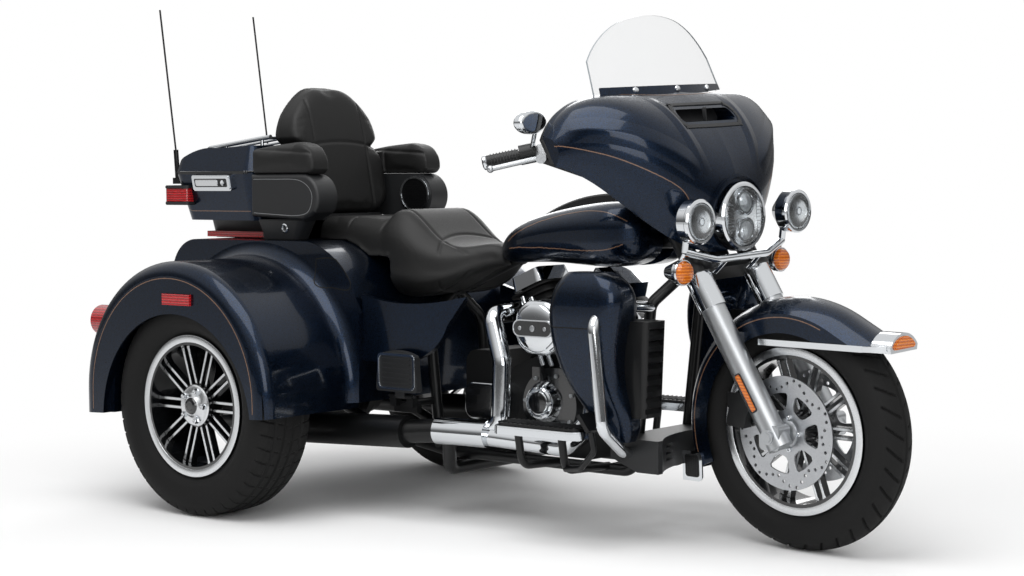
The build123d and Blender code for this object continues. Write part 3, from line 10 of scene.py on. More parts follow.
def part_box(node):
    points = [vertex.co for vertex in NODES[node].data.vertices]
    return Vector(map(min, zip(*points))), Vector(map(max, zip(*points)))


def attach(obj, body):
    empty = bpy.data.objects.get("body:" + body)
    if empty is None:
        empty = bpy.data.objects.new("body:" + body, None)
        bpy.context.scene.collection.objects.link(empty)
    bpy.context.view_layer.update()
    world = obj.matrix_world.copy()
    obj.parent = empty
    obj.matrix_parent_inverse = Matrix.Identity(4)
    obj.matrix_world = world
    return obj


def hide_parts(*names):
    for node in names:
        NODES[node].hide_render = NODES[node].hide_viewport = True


bl_info = {
    "name": "Touring trike finish",
    "version": (1, 0, 0),
    "blender": (4, 5, 0),
    "location": "View3D > Sidebar > Trike",
    "description": "Dresses the packed touring trike with its paint, trim, upholstery, tyres and lamps",
    "category": "Object",
}

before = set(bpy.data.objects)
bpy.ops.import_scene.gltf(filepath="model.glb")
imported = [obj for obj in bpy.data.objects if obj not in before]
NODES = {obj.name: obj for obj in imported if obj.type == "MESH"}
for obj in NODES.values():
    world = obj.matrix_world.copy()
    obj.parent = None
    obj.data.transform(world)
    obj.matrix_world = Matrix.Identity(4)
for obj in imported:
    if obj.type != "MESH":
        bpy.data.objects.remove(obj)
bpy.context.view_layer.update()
MM = 0.001
FINISH = {}
SIDES = ((-1, "right"), (1, "left"))

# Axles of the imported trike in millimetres, and the turn that parks what steers
FRONT_AXLE = (985.0, 0.0, 320.0)
REAR_X, REAR_Z, HALF_TRACK = -685.0, 324.0, 567.0
RAKE, PARKED = math.radians(26), math.radians(-6.5)
STEER_FOOT = Vector((1084.0, 0.0, 0.0))
STEER_LINE = Vector((-math.sin(RAKE), 0.0, math.cos(RAKE)))
PARK = (Matrix.Translation(STEER_FOOT) @ Matrix.Rotation(PARKED, 4, STEER_LINE)
        @ Matrix.Translation(-STEER_FOOT))

# Places and sizes that several pieces share, in millimetres
LAMP_Z, PASSING_LAMP_Y, SIGNAL_Z = 876.0, 205.0, 742.0
FORK_LEAN, FORK_STRIP_RISE = math.radians(31), 110.0
DISC_BACK_Y, DISC_FACE_Y = 74.0, 79.0
GUARD_LINE_R, ARCH_LINE_R = 303.0, 350.0
SCREEN_R, SCREEN_LEAN, SCREEN_FOOT_Z = 600.0, math.radians(23.5), 1212.0
AIR_CLEANER_X, AIR_CLEANER_Z = 254.0, 565.0
RIDER_BOARD_Y, PASSENGER_BOARD_X, PASSENGER_BOARD_Y = 351.0, -159.0, 341.6
SEAM_WIDE, SEAM_RISE = 3.4, 0.25
BESIDE = 400.0  # beside the engine and the top case, from where rays look inwards


# Colours and nodes
def linear(code):
    """Linear colour with alpha from an sRGB hex value."""
    parts = [int(code[i:i + 2], 16) / 255 for i in (1, 3, 5)]
    return [c / 12.92 if c <= 0.04045 else ((c + 0.055) / 1.055) ** 2.4 for c in parts] + [1.0]


def put(tree, kind, ins=None, **settings):
    """Adds one node: its settings, then its inputs as values or as sockets to link from."""
    made = tree.nodes.new(kind)
    for key, value in settings.items():
        setattr(made, key, value)
    for key, value in (ins or {}).items():
        if isinstance(value, bpy.types.NodeSocket):
            tree.links.new(value, made.inputs[key])
        else:
            made.inputs[key].default_value = value
    return made


def finish(name, **shader):
    """New material with a Principled shader; returns its tree, the shader and its Object coordinates."""
    made = bpy.data.materials.new(name)
    made.use_nodes = True
    tree = made.node_tree
    tree.nodes.clear()
    surface = put(tree, "ShaderNodeBsdfPrincipled", {k.replace("_", " "): v for k, v in shader.items()})
    put(tree, "ShaderNodeOutputMaterial", {"Surface": surface.outputs[0]})
    FINISH[name] = made
    return tree, surface, put(tree, "ShaderNodeTexCoord").outputs["Object"]


def vary(tree, surface, pattern, shades, rough):
    """Lets a pattern's 0 to 1 run between two colours and between two values of roughness."""
    if shades:
        colour = put(tree, "ShaderNodeMix", {0: pattern, 6: linear(shades[0]), 7: linear(shades[1])},
                     data_type="RGBA").outputs[2]
        tree.links.new(colour, surface.inputs["Base Color"])
    if rough:
        level = put(tree, "ShaderNodeMapRange", {"Value": pattern, "To Min": rough[0], "To Max": rough[1]})
        tree.links.new(level.outputs[0], surface.inputs["Roughness"])


def patterned(name, grain_mm, shades=None, rough=None, depth_mm=0.0, strength=0.5, kind="Noise", **shader):
    """New material that follows one pattern, which stands out where it has a depth; returns the pattern."""
    tree, surface, at = finish(name, **shader)
    pattern = put(tree, "ShaderNodeTex" + kind, {"Vector": at, "Scale": 1 / (grain_mm * MM)})
    height = pattern.outputs["Distance" if kind == "Voronoi" else "Fac"]
    if depth_mm:
        bump = put(tree, "ShaderNodeBump",
                   {"Height": height, "Distance": depth_mm * MM, "Strength": strength})
        tree.links.new(bump.outputs[0], surface.inputs["Normal"])
    vary(tree, surface, height, shades, rough)
    return pattern


def make_finishes(colours):
    """Every material of the trike."""
    # Metallic base coat under clear lacquer: deep navy, with flakes drawn at 1.5 mm so that they show
    tree, surface, at = finish("navy_metallic_paint", Metallic=0.9, Coat_Weight=0.6, Coat_Roughness=0.08,
                               Coat_IOR=1.4)
    flakes = put(tree, "ShaderNodeTexVoronoi", {"Vector": at, "Scale": 1 / (1.5 * MM)}).outputs["Color"]
    shade = put(tree, "ShaderNodeSeparateColor", {"Color": flakes}).outputs[0]
    vary(tree, surface, shade, (colours.paint_dark, colours.paint_light), (0.26, 0.36))

    # Hand-laid enamel line in tan over copper: low gloss under the lacquer
    patterned("tan_enamel_line", 9, ("#5A4030", "#7C5C46"), Roughness=0.4, Coat_Weight=0.6)

    # Chrome plate on polished steel: mirror bright, with the faint waves of the buffing under it
    patterned("chrome_plate", 60, rough=(0.04, 0.11), depth_mm=0.25, strength=0.25,
              Base_Color=linear("#D6D9DC"), Metallic=1.0, Roughness=0.07)

    # Cast aluminium, sand-finished and clear-coated: satin, with a fine grit
    patterned("satin_cast_aluminium", 1.6, ("#A3A6A9", "#C4C6C8"), (0.3, 0.46), depth_mm=0.05,
              Metallic=1.0, Roughness=0.38)

    # Turned aluminium: bright, with a fine grain from the tool, drawn at 2 mm so that it shows
    patterned("machined_aluminium", 2.0, ("#C9CBCD", "#E2E4E6"), depth_mm=0.03, Metallic=1.0, Roughness=0.24)

    # Powder-coated steel: semi-gloss black with a slight orange peel
    patterned("black_powder_coat", 2.4, ("#070708", "#0E0F10"), (0.28, 0.44), depth_mm=0.06,
              Specular_IOR_Level=0.3, Coat_Weight=0.1)

    # Gloss black enamel on castings: deep and wet under its clear coat
    patterned("black_gloss_enamel", 14, ("#08090A", "#101113"), Roughness=0.16, Coat_Weight=0.8)

    # Wrinkle-black engine castings: dull, with a coarse crackle
    patterned("wrinkle_black_casting", 1.8, ("#060607", "#111213"), depth_mm=0.25, kind="Voronoi",
              Roughness=0.55, Specular_IOR_Level=0.25)

    # Ground steel disc: grey, with the mottle of the grinding, drawn at 2.2 mm so that it shows
    patterned("ground_disc_steel", 2.2, ("#9EA0A3", "#C6C8CB"), (0.22, 0.4), depth_mm=0.05,
              Metallic=1.0, Roughness=0.3)

    # Moulded black ABS: matt, with a spark-eroded texture
    patterned("moulded_black_abs", 1.5, ("#131415", "#202123"), (0.42, 0.58), depth_mm=0.12, Roughness=0.5)

    # Grained vinyl over foam: soft black sheen, with leather cells
    patterned("grained_black_vinyl", 3.2, ("#111111", "#1B1B1B"), (0.44, 0.6), depth_mm=0.35, strength=0.4,
              kind="Voronoi", Specular_IOR_Level=0.32)

    # Vulcanised tyre rubber: dull black, paler where it has dusted
    patterned("tyre_rubber", 6.0, ("#0C0C0C", "#161616"), (0.64, 0.82), depth_mm=0.15,
              Specular_IOR_Level=0.25)

    # Cast clear acrylic: the faint grey of the thin sheet against a white wall, with its gloss
    patterned("clear_acrylic", 80, ("#8C9296", "#A2A8AB"), Roughness=0.03, IOR=1.49, Alpha=0.1)

    # Polished cut edge of the sheet: light gathers there and it reads as a grey line
    patterned("acrylic_cut_edge", 20, ("#7C8286", "#A2A8AC"), Roughness=0.15)

    # Hard-coated lamp cover: clear, with a faint moulded ripple
    patterned("clear_lens", 14, ("#F2F6F8", "#FFFFFF"), depth_mm=0.2, strength=0.2, Roughness=0.02,
              IOR=1.45, Transmission_Weight=1.0)

    # Projector glass over a bright bowl: pale, wet and clear
    patterned("lamp_crystal", 5, ("#AEB6BD", "#EEF2F5"), depth_mm=0.3, strength=0.4, kind="Voronoi",
              Roughness=0.05, Metallic=0.3, Coat_Weight=1.0)

    # Screen-printed dial marks: flat off-white ink
    patterned("pale_dial_paint", 3, ("#D8D8D2", "#F0F0EA"), Roughness=0.6)

    # Moulded lens plastic: clear colour over ribs 7.9 mm apart; a wave runs 20 radians to the unit
    for name, shades in (("red_lens", ("#8E0D10", "#D4252A")), ("amber_lens", ("#C25A05", "#F58A1C"))):
        ribs = patterned(name, 7.9 * 20 / math.tau, shades, depth_mm=0.6, strength=0.6, kind="Wave",
                         Roughness=0.12, Coat_Weight=0.7, Transmission_Weight=0.25)
        ribs.bands_direction = "Z"


# Forms, drawn in millimetres as points and faces
def arc(a, b, c, count):
    """Points on the circle from a through b to c, without a."""
    (ax, ay), (bx, by), (cx, cy) = a, b, c
    wide = 2 * (ax * (by - cy) + bx * (cy - ay) + cx * (ay - by))
    a2, b2, c2 = ax * ax + ay * ay, bx * bx + by * by, cx * cx + cy * cy
    x = (a2 * (by - cy) + b2 * (cy - ay) + c2 * (ay - by)) / wide
    y = (a2 * (cx - bx) + b2 * (ax - cx) + c2 * (bx - ax)) / wide
    r = math.hypot(ax - x, ay - y)
    start, mid, end = (math.atan2(v - y, u - x) for u, v in (a, b, c))
    sweep = (end - start) % math.tau
    if (mid - start) % math.tau > sweep:
        sweep -= math.tau
    return [(x + r * math.cos(start + sweep * n / count), y + r * math.sin(start + sweep * n / count))
            for n in range(1, count + 1)]


def oval(half_wide, half_high, steps=40, at=(0.0, 0.0)):
    """Closed outline of an ellipse."""
    turns = [math.tau * n / steps for n in range(steps)]
    return [(at[0] + half_wide * math.cos(a), at[1] + half_high * math.sin(a)) for a in turns]


def rounded(wide, high, corner, steps=6):
    """Closed outline of a rounded rectangle round the origin."""
    loop = []
    for quarter, (sx, sy) in enumerate(((1, 1), (-1, 1), (-1, -1), (1, -1))):
        for n in range(steps + 1):
            a = (quarter + n / steps) * math.pi / 2
            loop.append((sx * (wide / 2 - corner) + corner * math.cos(a),
                         sy * (high / 2 - corner) + corner * math.sin(a)))
    return loop


def turned(rows, steps=48, closed=False):
    """Turned form about Z from rows of radius and height."""
    points, faces, rings = [], [], []
    for r, h in rows:
        count = steps if r else 1
        rings.append([len(points) + (n if r else 0) for n in range(steps)])
        points += [(x, y, h) for x, y in oval(r, r, steps)[:count]]
    for low, high in zip(rings, rings[1:] + (rings[:1] if closed else [])):
        for n in range(steps):
            face = list(dict.fromkeys((low[n], low[n - 1], high[n - 1], high[n])))
            if len(face) > 2:
                faces.append(face)
    return points, faces


def prism(low, high):
    """Form between two outlines of as many points, closed at both."""
    count = len(low)
    faces = [list(range(count))[::-1], list(range(count, 2 * count))]
    faces += [[(n - 1) % count, n, n + count, (n - 1) % count + count] for n in range(count)]
    return low + high, faces


def plate(loop, thick):
    """Flat form: an outline in X and Y, raised along Z."""
    return prism(*([(x, y, z) for x, y in loop] for z in (0.0, thick)))


def punched(loops, thick):
    """Flat form with holes: an outline and the outlines of its holes, raised along Z."""
    data = bpy.data.curves.new("punched", "CURVE")
    data.dimensions, data.fill_mode, data.extrude = "2D", "BOTH", thick / 2
    for loop in loops:
        line = data.splines.new("POLY")
        line.points.add(len(loop) - 1)
        for point, (x, y) in zip(line.points, loop):
            point.co = (x, y, 0.0, 1.0)
        line.use_cyclic_u = True
    mesh = baked(bpy.data.objects.new("punched", data))
    points = [(v.co.x, v.co.y, v.co.z + thick / 2) for v in mesh.vertices]
    return points, [list(f.vertices) for f in mesh.polygons]


def cap_screw(radius, high):
    """Socket-head screw that stands on Z."""
    crown, mouth, socket = 0.8 * radius, 0.5 * radius, 0.45 * radius
    return turned([(0.0, 0.0), (radius, 0.0), (radius, 0.75 * high), (crown, high), (mouth, high),
                   (socket, 0.5 * high), (0.0, 0.5 * high)], 12)


def facing(at, normal, up=(0.0, 0.0, 1.0)):
    """Stands a form drawn in X and Y upright at a place, with its Z along the normal."""
    z = Vector(normal).normalized()
    y = (Vector(up) - z * Vector(up).dot(z)).normalized()
    return Matrix.Translation(at) @ Matrix((y.cross(z), y, z)).transposed().to_4x4()


def moved(form, matrix):
    """The form in another place."""
    return [matrix @ Vector(p) for p in form[0]], form[1]


def circled(form, count, at):
    """Copies of a form that stands beside Z, spread evenly about the Z of a place."""
    return [moved(form, at @ Matrix.Rotation(math.tau * n / count, 4, "Z")) for n in range(count)]


def baked(thing):
    """Plain mesh of an object with its modifiers, and the object is gone."""
    bpy.context.scene.collection.objects.link(thing)
    graph = bpy.context.evaluated_depsgraph_get()
    mesh = bpy.data.meshes.new_from_object(thing.evaluated_get(graph), depsgraph=graph)
    bpy.data.objects.remove(thing)
    return mesh


def mesh_of(*forms, bevel=0.0):
    """One mesh from forms, welded, with its faces outwards and its hard edges eased."""
    points, faces = [], []
    for more, sides in forms:
        faces += [[len(points) + n for n in face] for face in sides]
        points += more
    mesh = bpy.data.meshes.new("form")
    mesh.from_pydata(points, [], faces)
    work = bmesh.new()
    work.from_mesh(mesh)
    bmesh.ops.remove_doubles(work, verts=work.verts, dist=0.002)
    bmesh.ops.recalc_face_normals(work, faces=work.faces)
    if bevel:
        hard = [e for e in work.edges if len(e.link_faces) == 2 and e.calc_face_angle() > 0.6]
        bmesh.ops.bevel(work, geom=hard, offset=bevel, segments=2, affect="EDGES", clamp_overlap=True)
    work.to_mesh(mesh)
    work.free()
    return mesh


def repeat_tree():
    """Copies the object's own mesh along a step and about an axis."""
    tree = bpy.data.node_groups.new("repeat_about_axis", "GeometryNodeTree")
    for title, kind in (("Element", "Geometry"), ("Count", "Int"), ("Centre", "Vector"), ("Step", "Vector"),
                        ("Axis", "Vector"), ("Turn", "Float"), ("Coat", "Material")):
        tree.interface.new_socket(title, in_out="INPUT", socket_type="NodeSocket" + kind)
    tree.interface.new_socket("Copies", in_out="OUTPUT", socket_type="NodeSocketGeometry")
    given = put(tree, "NodeGroupInput").outputs
    index = put(tree, "GeometryNodeInputIndex").outputs[0]
    shift = put(tree, "ShaderNodeVectorMath", {0: given["Step"], "Scale": index},
                operation="SCALE").outputs[0]
    spot = put(tree, "ShaderNodeVectorMath", {0: given["Centre"], 1: shift}, operation="ADD").outputs[0]
    points = put(tree, "GeometryNodePoints", {"Count": given["Count"], "Position": spot}).outputs[0]
    angle = put(tree, "ShaderNodeMath", {0: given["Turn"], 1: index}, operation="MULTIPLY").outputs[0]
    swing = put(tree, "FunctionNodeAxisAngleToRotation", {"Axis": given["Axis"], "Angle": angle}).outputs[0]
    copies = put(tree, "GeometryNodeInstanceOnPoints",
                 {"Points": points, "Instance": given["Element"], "Rotation": swing}).outputs[0]
    whole = put(tree, "GeometryNodeRealizeInstances", {"Geometry": copies}).outputs[0]
    coated = put(tree, "GeometryNodeSetMaterial", {"Geometry": whole, "Material": given["Coat"]}).outputs[0]
    put(tree, "NodeGroupOutput", {"Copies": coated})
    return tree


def repeat(element, count, coat, centre=(0, 0, 0), axis=(0, 1, 0), turn=0.0, step=(0, 0, 0)):
    """Mesh of copies of an element that is drawn from the centre."""
    tree = bpy.data.node_groups.get("repeat_about_axis") or repeat_tree()
    thing = bpy.data.objects.new("repeat", element)
    copier = thing.modifiers.new("repeat", "NODES")
    copier.node_group = tree
    values = {"Count": count, "Centre": Vector(centre), "Step": Vector(step), "Axis": Vector(axis),
              "Turn": turn, "Coat": FINISH[coat]}
    for socket in tree.interface.items_tree:
        if socket.in_out == "INPUT" and socket.name in values:
            copier[socket.identifier] = values[socket.name]
    return baked(thing)


def round_ring(form, count, coat, centre, axis=(0, 1, 0), bevel=0.0):
    """Copies spread evenly about an axis."""
    return repeat(mesh_of(form, bevel=bevel), count, coat, centre, axis, math.tau / count)


def place(name, body, parts, replaced=(), steered=False):
    """Joins meshes in millimetres, each with its finish, into one piece that rides on a body."""
    mesh = bpy.data.meshes.new(name)
    whole = bmesh.new()
    for number, (part, coat) in enumerate(parts):
        part.polygons.foreach_set("material_index", [number] * len(part.polygons))
        whole.from_mesh(part)
        mesh.materials.append(FINISH[coat])
    whole.transform(Matrix.Scale(MM, 4) @ (PARK if steered else Matrix.Identity(4)))
    whole.to_mesh(mesh)
    whole.free()
    mesh.polygons.foreach_set("use_smooth", [True] * len(mesh.polygons))
    mesh.set_sharp_from_angle(angle=math.radians(32))
    return stand(name, mesh, body, replaced)


def stand(name, mesh, body, replaced=()):
    """Puts a finished mesh in metres in the scene on its body."""
    piece = bpy.data.objects.new(name, mesh)
    bpy.context.scene.collection.objects.link(piece)
    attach(piece, body)
    if replaced:
        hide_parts(*replaced)
    return piece


def two_toned(name, node, body, coats, rule):
    """A CAD piece with a second finish on faces that a rule picks by their middle, in mm, and normal."""
    mesh = NODES[node].data.copy()
    mesh.materials.clear()
    for coat in coats:
        mesh.materials.append(FINISH[coat])
    for face in mesh.polygons:
        face.material_index = int(rule(face.center / MM, face.normal))
    return stand(name, mesh, body, [node])


def skin(node):
    """Search tree of a CAD piece's surface, in metres."""
    mesh = NODES[node].data
    return BVHTree.FromPolygons([v.co for v in mesh.vertices], [f.vertices for f in mesh.polygons])


def followed(tree, path, steered, spacing):
    """Places and normals on a surface along a smooth line through points near it, in metres."""
    path = [(PARK if steered else Matrix.Identity(4)) @ Vector(p) for p in path]
    stops = []
    for n in range(len(path) - 1):
        before, after = path[max(n - 1, 0)], path[min(n + 2, len(path) - 1)]
        count = max(2, round((path[n + 1] - path[n]).length / spacing))
        for k in range(count + (n == len(path) - 2)):
            t = k / count
            a, b, c = 2 * path[n], path[n + 1] - before, 2 * before - 5 * path[n] + 4 * path[n + 1] - after
            d = 3 * path[n] - before - 3 * path[n + 1] + after
            stops.append(0.5 * (a + b * t + c * t * t + d * t * t * t))
    return [tree.find_nearest(p * MM)[:2] for p in stops]


def laid(tree, path, wide, rise=0.5, steered=False, spacing=6.0, sunk=1.2):
    """Flat line laid on a surface along a path of points near it, rooted just under it."""
    spots = followed(tree, path, steered, spacing)
    points, faces = [], []
    for n, (at, normal) in enumerate(spots):
        run = spots[min(n + 1, len(spots) - 1)][0] - spots[max(n - 1, 0)][0]
        side = run.cross(normal).normalized() * wide / 2
        here = at / MM
        points += [here - side + normal * rise, here + side + normal * rise, here + side - normal * sunk,
                   here - side - normal * sunk]
    for n in range(len(spots) - 1):
        faces += [[4 * n + k, 4 * n + (k + 1) % 4, 4 * n + 4 + (k + 1) % 4, 4 * n + 4 + k] for k in range(4)]
    faces += [[3, 2, 1, 0], [len(points) - 4 + k for k in range(4)]]
    return points, faces


def crease(tree, path, half, rise, steered=False):
    """Soft ridge that grows out of a surface along a path: its feet follow the surface on both sides."""
    stops = followed(tree, path, steered, 12.0)
    profile = [(-1.0, -1.2), (-0.72, 0.1 * rise), (-0.4, 0.38 * rise), (-0.12, 0.86 * rise), (0.0, rise),
               (0.12, 0.86 * rise), (0.4, 0.38 * rise), (0.72, 0.1 * rise), (1.0, -1.2)]
    points, faces, wide = [], [], len(profile)
    for n, (at, normal) in enumerate(stops):
        run = stops[min(n + 1, len(stops) - 1)][0] - stops[max(n - 1, 0)][0]
        side = run.cross(normal).normalized()
        fade = ease(min(n, len(stops) - 1 - n) / 6)
        for across, lift in profile:
            foot, out = tree.find_nearest(at + side * (across * half * MM))[:2]
            points.append(foot / MM + out * (lift * fade if lift > 0 else lift - 0.6))
    for n in range(len(stops) - 1):
        faces += [[n * wide + k, n * wide + k + 1, (n + 1) * wide + k + 1, (n + 1) * wide + k]
                  for k in range(wide - 1)]
    return points, faces


def struck(tree, start, look):
    """Place and outward normal where a ray meets a surface, in millimetres."""
    at, normal, _, _ = tree.ray_cast(Vector(start) * MM, Vector(look))
    if at is None:
        raise RuntimeError(f"a fastener at {start} misses its cover")
    return at / MM, normal


def screwed(node, starts, look, radius, high):
    """Screws set on a CAD piece where rays from these points meet it."""
    tree = skin(node)
    return [moved(cap_screw(radius, high), facing(*struck(tree, p, look), up=(0.6, 0.0, 0.8)))
            for p in starts]


def at_side(y, *points):
    """Places at one distance to the side, from pairs along and up."""
    return [(x, y, z) for x, z in points]


def vertices_of(mesh):
    """Places and normals of a mesh's points, in metres."""
    co, out = np.empty(len(mesh.vertices) * 3), np.empty(len(mesh.vertices) * 3)
    mesh.vertices.foreach_get("co", co)
    mesh.vertex_normals.foreach_get("vector", out)
    return co.reshape(-1, 3), out.reshape(-1, 3)


# Tyres and wheels
def ease(value):
    """Smooth step from 0 to 1."""
    value = min(max(value, 0.0), 1.0)
    return value * value * (3 - 2 * value)


def near(gap, half, edge=1.6):
    """1 inside a cut of this half width, 0 outside it."""
    return ease((half + edge - gap) / edge)


def front_cut(y, t, pitch):
    """Swept grooves from the middle to the shoulders of the front tread, as a share of the full depth."""
    side = abs(y)
    flow = 0.75 * (side / 56.0) ** 1.6 + (0.5 if y > 0 else 0.0)
    gap = abs((t - flow + 0.5) % 1.0 - 0.5) * pitch
    sweep = near(gap, 2.6) * ease((side - 7) / 5) * ease((56 - side) / 3)
    return max(0.8 * near(side, 2.2), sweep)


def rear_cut(y, t, pitch):
    """Four long grooves and slanted cuts in the rear tread, as a share of the full depth."""
    side = abs(y)
    rib = max(near(abs(side - 17), 3.6), near(abs(side - 50), 3.6))
    gap = abs((t - 0.5 * side / 90 + (0.25 if y > 0 else 0.0) + 0.5) % 1.0 - 0.5) * pitch
    cut = near(gap, 1.4) * (0.8 if side > 53 else 0.55 if 22 < side < 45 else 0.3)
    return max(rib, cut)


def front_section():
    """Places across and radii round the front tyre's section, from bead to bead."""
    return ([(-40, 205), (-40, 222)] + arc((-40, 222), (-65, 262.5), (-58, 293), 14)
            + arc((-58, 293), (0, 320), (58, 293), 52) + arc((58, 293), (65, 262.5), (40, 222), 14)
            + [(40, 205)])


def rear_section():
    """Places across and radii round a rear tyre's section, from bead to bead."""
    return ([(-76, 191), (-76, 209.5)] + arc((-76, 209.5), (-102.5, 253), (-95.5, 299), 14)
            + arc((-95.5, 299), (-88.5, 313), (-74.5, 320), 8) + arc((-74.5, 320), (0, 324), (74.5, 320), 52)
            + arc((74.5, 320), (88.5, 313), (95.5, 299), 8) + arc((95.5, 299), (102.5, 253), (76, 209.5), 14)
            + [(76, 191)])


def tread_pitch(section, count, steps, cut, depth, shoulder, ridge):
    """One pitch of a tyre: its section swept over a sector, cut by the tread and ribbed on the walls."""
    points, faces = [], []
    pitch = max(r for _, r in section) * math.tau / count
    last = len(section) - 1
    for k in range(steps + 1):
        turn = math.tau / count * k / steps
        for n, (y, r) in enumerate(section):
            run = Vector(section[min(n + 1, last)]) - Vector(section[max(n - 1, 0)])
            out = Vector((-run.y, run.x)).normalized()
            groove = depth * cut(y, k / steps % 1.0, pitch) * ease((r - shoulder) / 6)
            sink = groove - 1.1 * near(abs(r - ridge), 1.5)
            y, r = y - out.x * sink, r - out.y * sink
            points.append((r * math.cos(turn), y, r * math.sin(turn)))
    size = last + 1
    for k in range(steps):
        for n in range(size):
            a, b = k * size + n, k * size + (n + 1) % size
            faces.append([a, b, b + size, a + size])
    return points, faces


def welded(mesh):
    """The mesh with the joins between its copies closed."""
    work = bmesh.new()
    work.from_mesh(mesh)
    bmesh.ops.remove_doubles(work, verts=work.verts, dist=0.02)
    bmesh.ops.recalc_face_normals(work, faces=work.faces)
    work.to_mesh(mesh)
    work.free()
    return mesh


# Finish of each slot, and of the pieces that differ from their slot
SLOT_FINISH = {
    "paint": "navy_metallic_paint", "chrome": "chrome_plate", "satin_alloy": "satin_cast_aluminium",
    "black_metal": "black_powder_coat", "disc_steel": "ground_disc_steel",
    "black_plastic": "moulded_black_abs", "upholstery": "grained_black_vinyl",
    "tyre_rubber": "tyre_rubber", "clear_screen": "clear_acrylic", "lamp_glass": "chrome_plate",
    "amber_lens": "amber_lens", "red_lens": "red_lens",
}
NODE_FINISH = {
    "front_rim": "black_gloss_enamel", "rear_rim_right": "black_gloss_enamel",
    "rear_rim_left": "black_gloss_enamel", "tank_console": "black_gloss_enamel",
    "engine_case": "wrinkle_black_casting", "cylinders": "wrinkle_black_casting",
    "front_calipers": "black_powder_coat", "handlebar": "black_powder_coat",
    "rider_boards": "black_powder_coat", "radiators": "black_powder_coat",
    "turn_signals": "chrome_plate", "air_cleaner": "chrome_plate",
    "hand_controls": "satin_cast_aluminium",
}


def hexcode(title, text, code):
    """A colour, kept as sRGB hex."""
    return bpy.props.StringProperty(name=title, description=text + ", as sRGB hex", default=code)


class TrikeColours(bpy.types.PropertyGroup):
    """Colours that an owner would choose."""
    paint_dark: hexcode("Paint shade", "Dark side of the metallic paint", "#070F19")
    paint_light: hexcode("Paint flake", "Bright flakes of the metallic paint", "#12243B")
    floor: hexcode("Floor", "Studio floor", "#F7F7F7")


class TrikeSizes(bpy.types.PropertyGroup):
    """Sizes that an owner would choose."""
    front_pitches: bpy.props.IntProperty(
        name="Front tread pitches", description="Grooves round the front tyre", default=36, min=12)
    rear_pitches: bpy.props.IntProperty(
        name="Rear tread pitches", description="Cuts round a rear tyre", default=48, min=12)
    tread_mm: bpy.props.FloatProperty(
        name="Tread depth", description="Depth of the grooves in mm", default=5.0, min=0.0)
    stripe_mm: bpy.props.FloatProperty(
        name="Pinstripe", description="Width of the lines in mm", default=2.6, min=1.0)
    pad_rise_mm: bpy.props.FloatProperty(
        name="Padding", description="How far the cushions swell, in mm", default=7.0, min=0.0, max=16.0)


class TrikeStudio(bpy.types.PropertyGroup):
    """Studio light and camera."""
    key_watts: bpy.props.FloatProperty(
        name="Key light", description="Overhead soft box", default=95.0, min=0.0, unit="POWER")
    fill_watts: bpy.props.FloatProperty(
        name="Fill lights", description="Soft boxes beside the camera and behind the trike", default=55.0,
        min=0.0, unit="POWER")
    focal_mm: bpy.props.FloatProperty(
        name="Focal length", description="On a 36 mm sensor", default=69.31, min=20.0, unit="CAMERA")
    camera_at: bpy.props.FloatVectorProperty(
        name="Camera place", description="In metres", default=(3.67494, -4.44689, 0.99933),
        subtype="TRANSLATION")
    yaw: bpy.props.FloatProperty(
        name="Camera yaw", description="Round the trike from its right side",
        default=math.radians(39.65), subtype="ANGLE")
    pitch: bpy.props.FloatProperty(
        name="Camera pitch", description="Below the horizon", default=math.radians(3.39), subtype="ANGLE")
    roll: bpy.props.FloatProperty(
        name="Camera roll", description="About the view line", default=math.radians(-0.40), subtype="ANGLE")


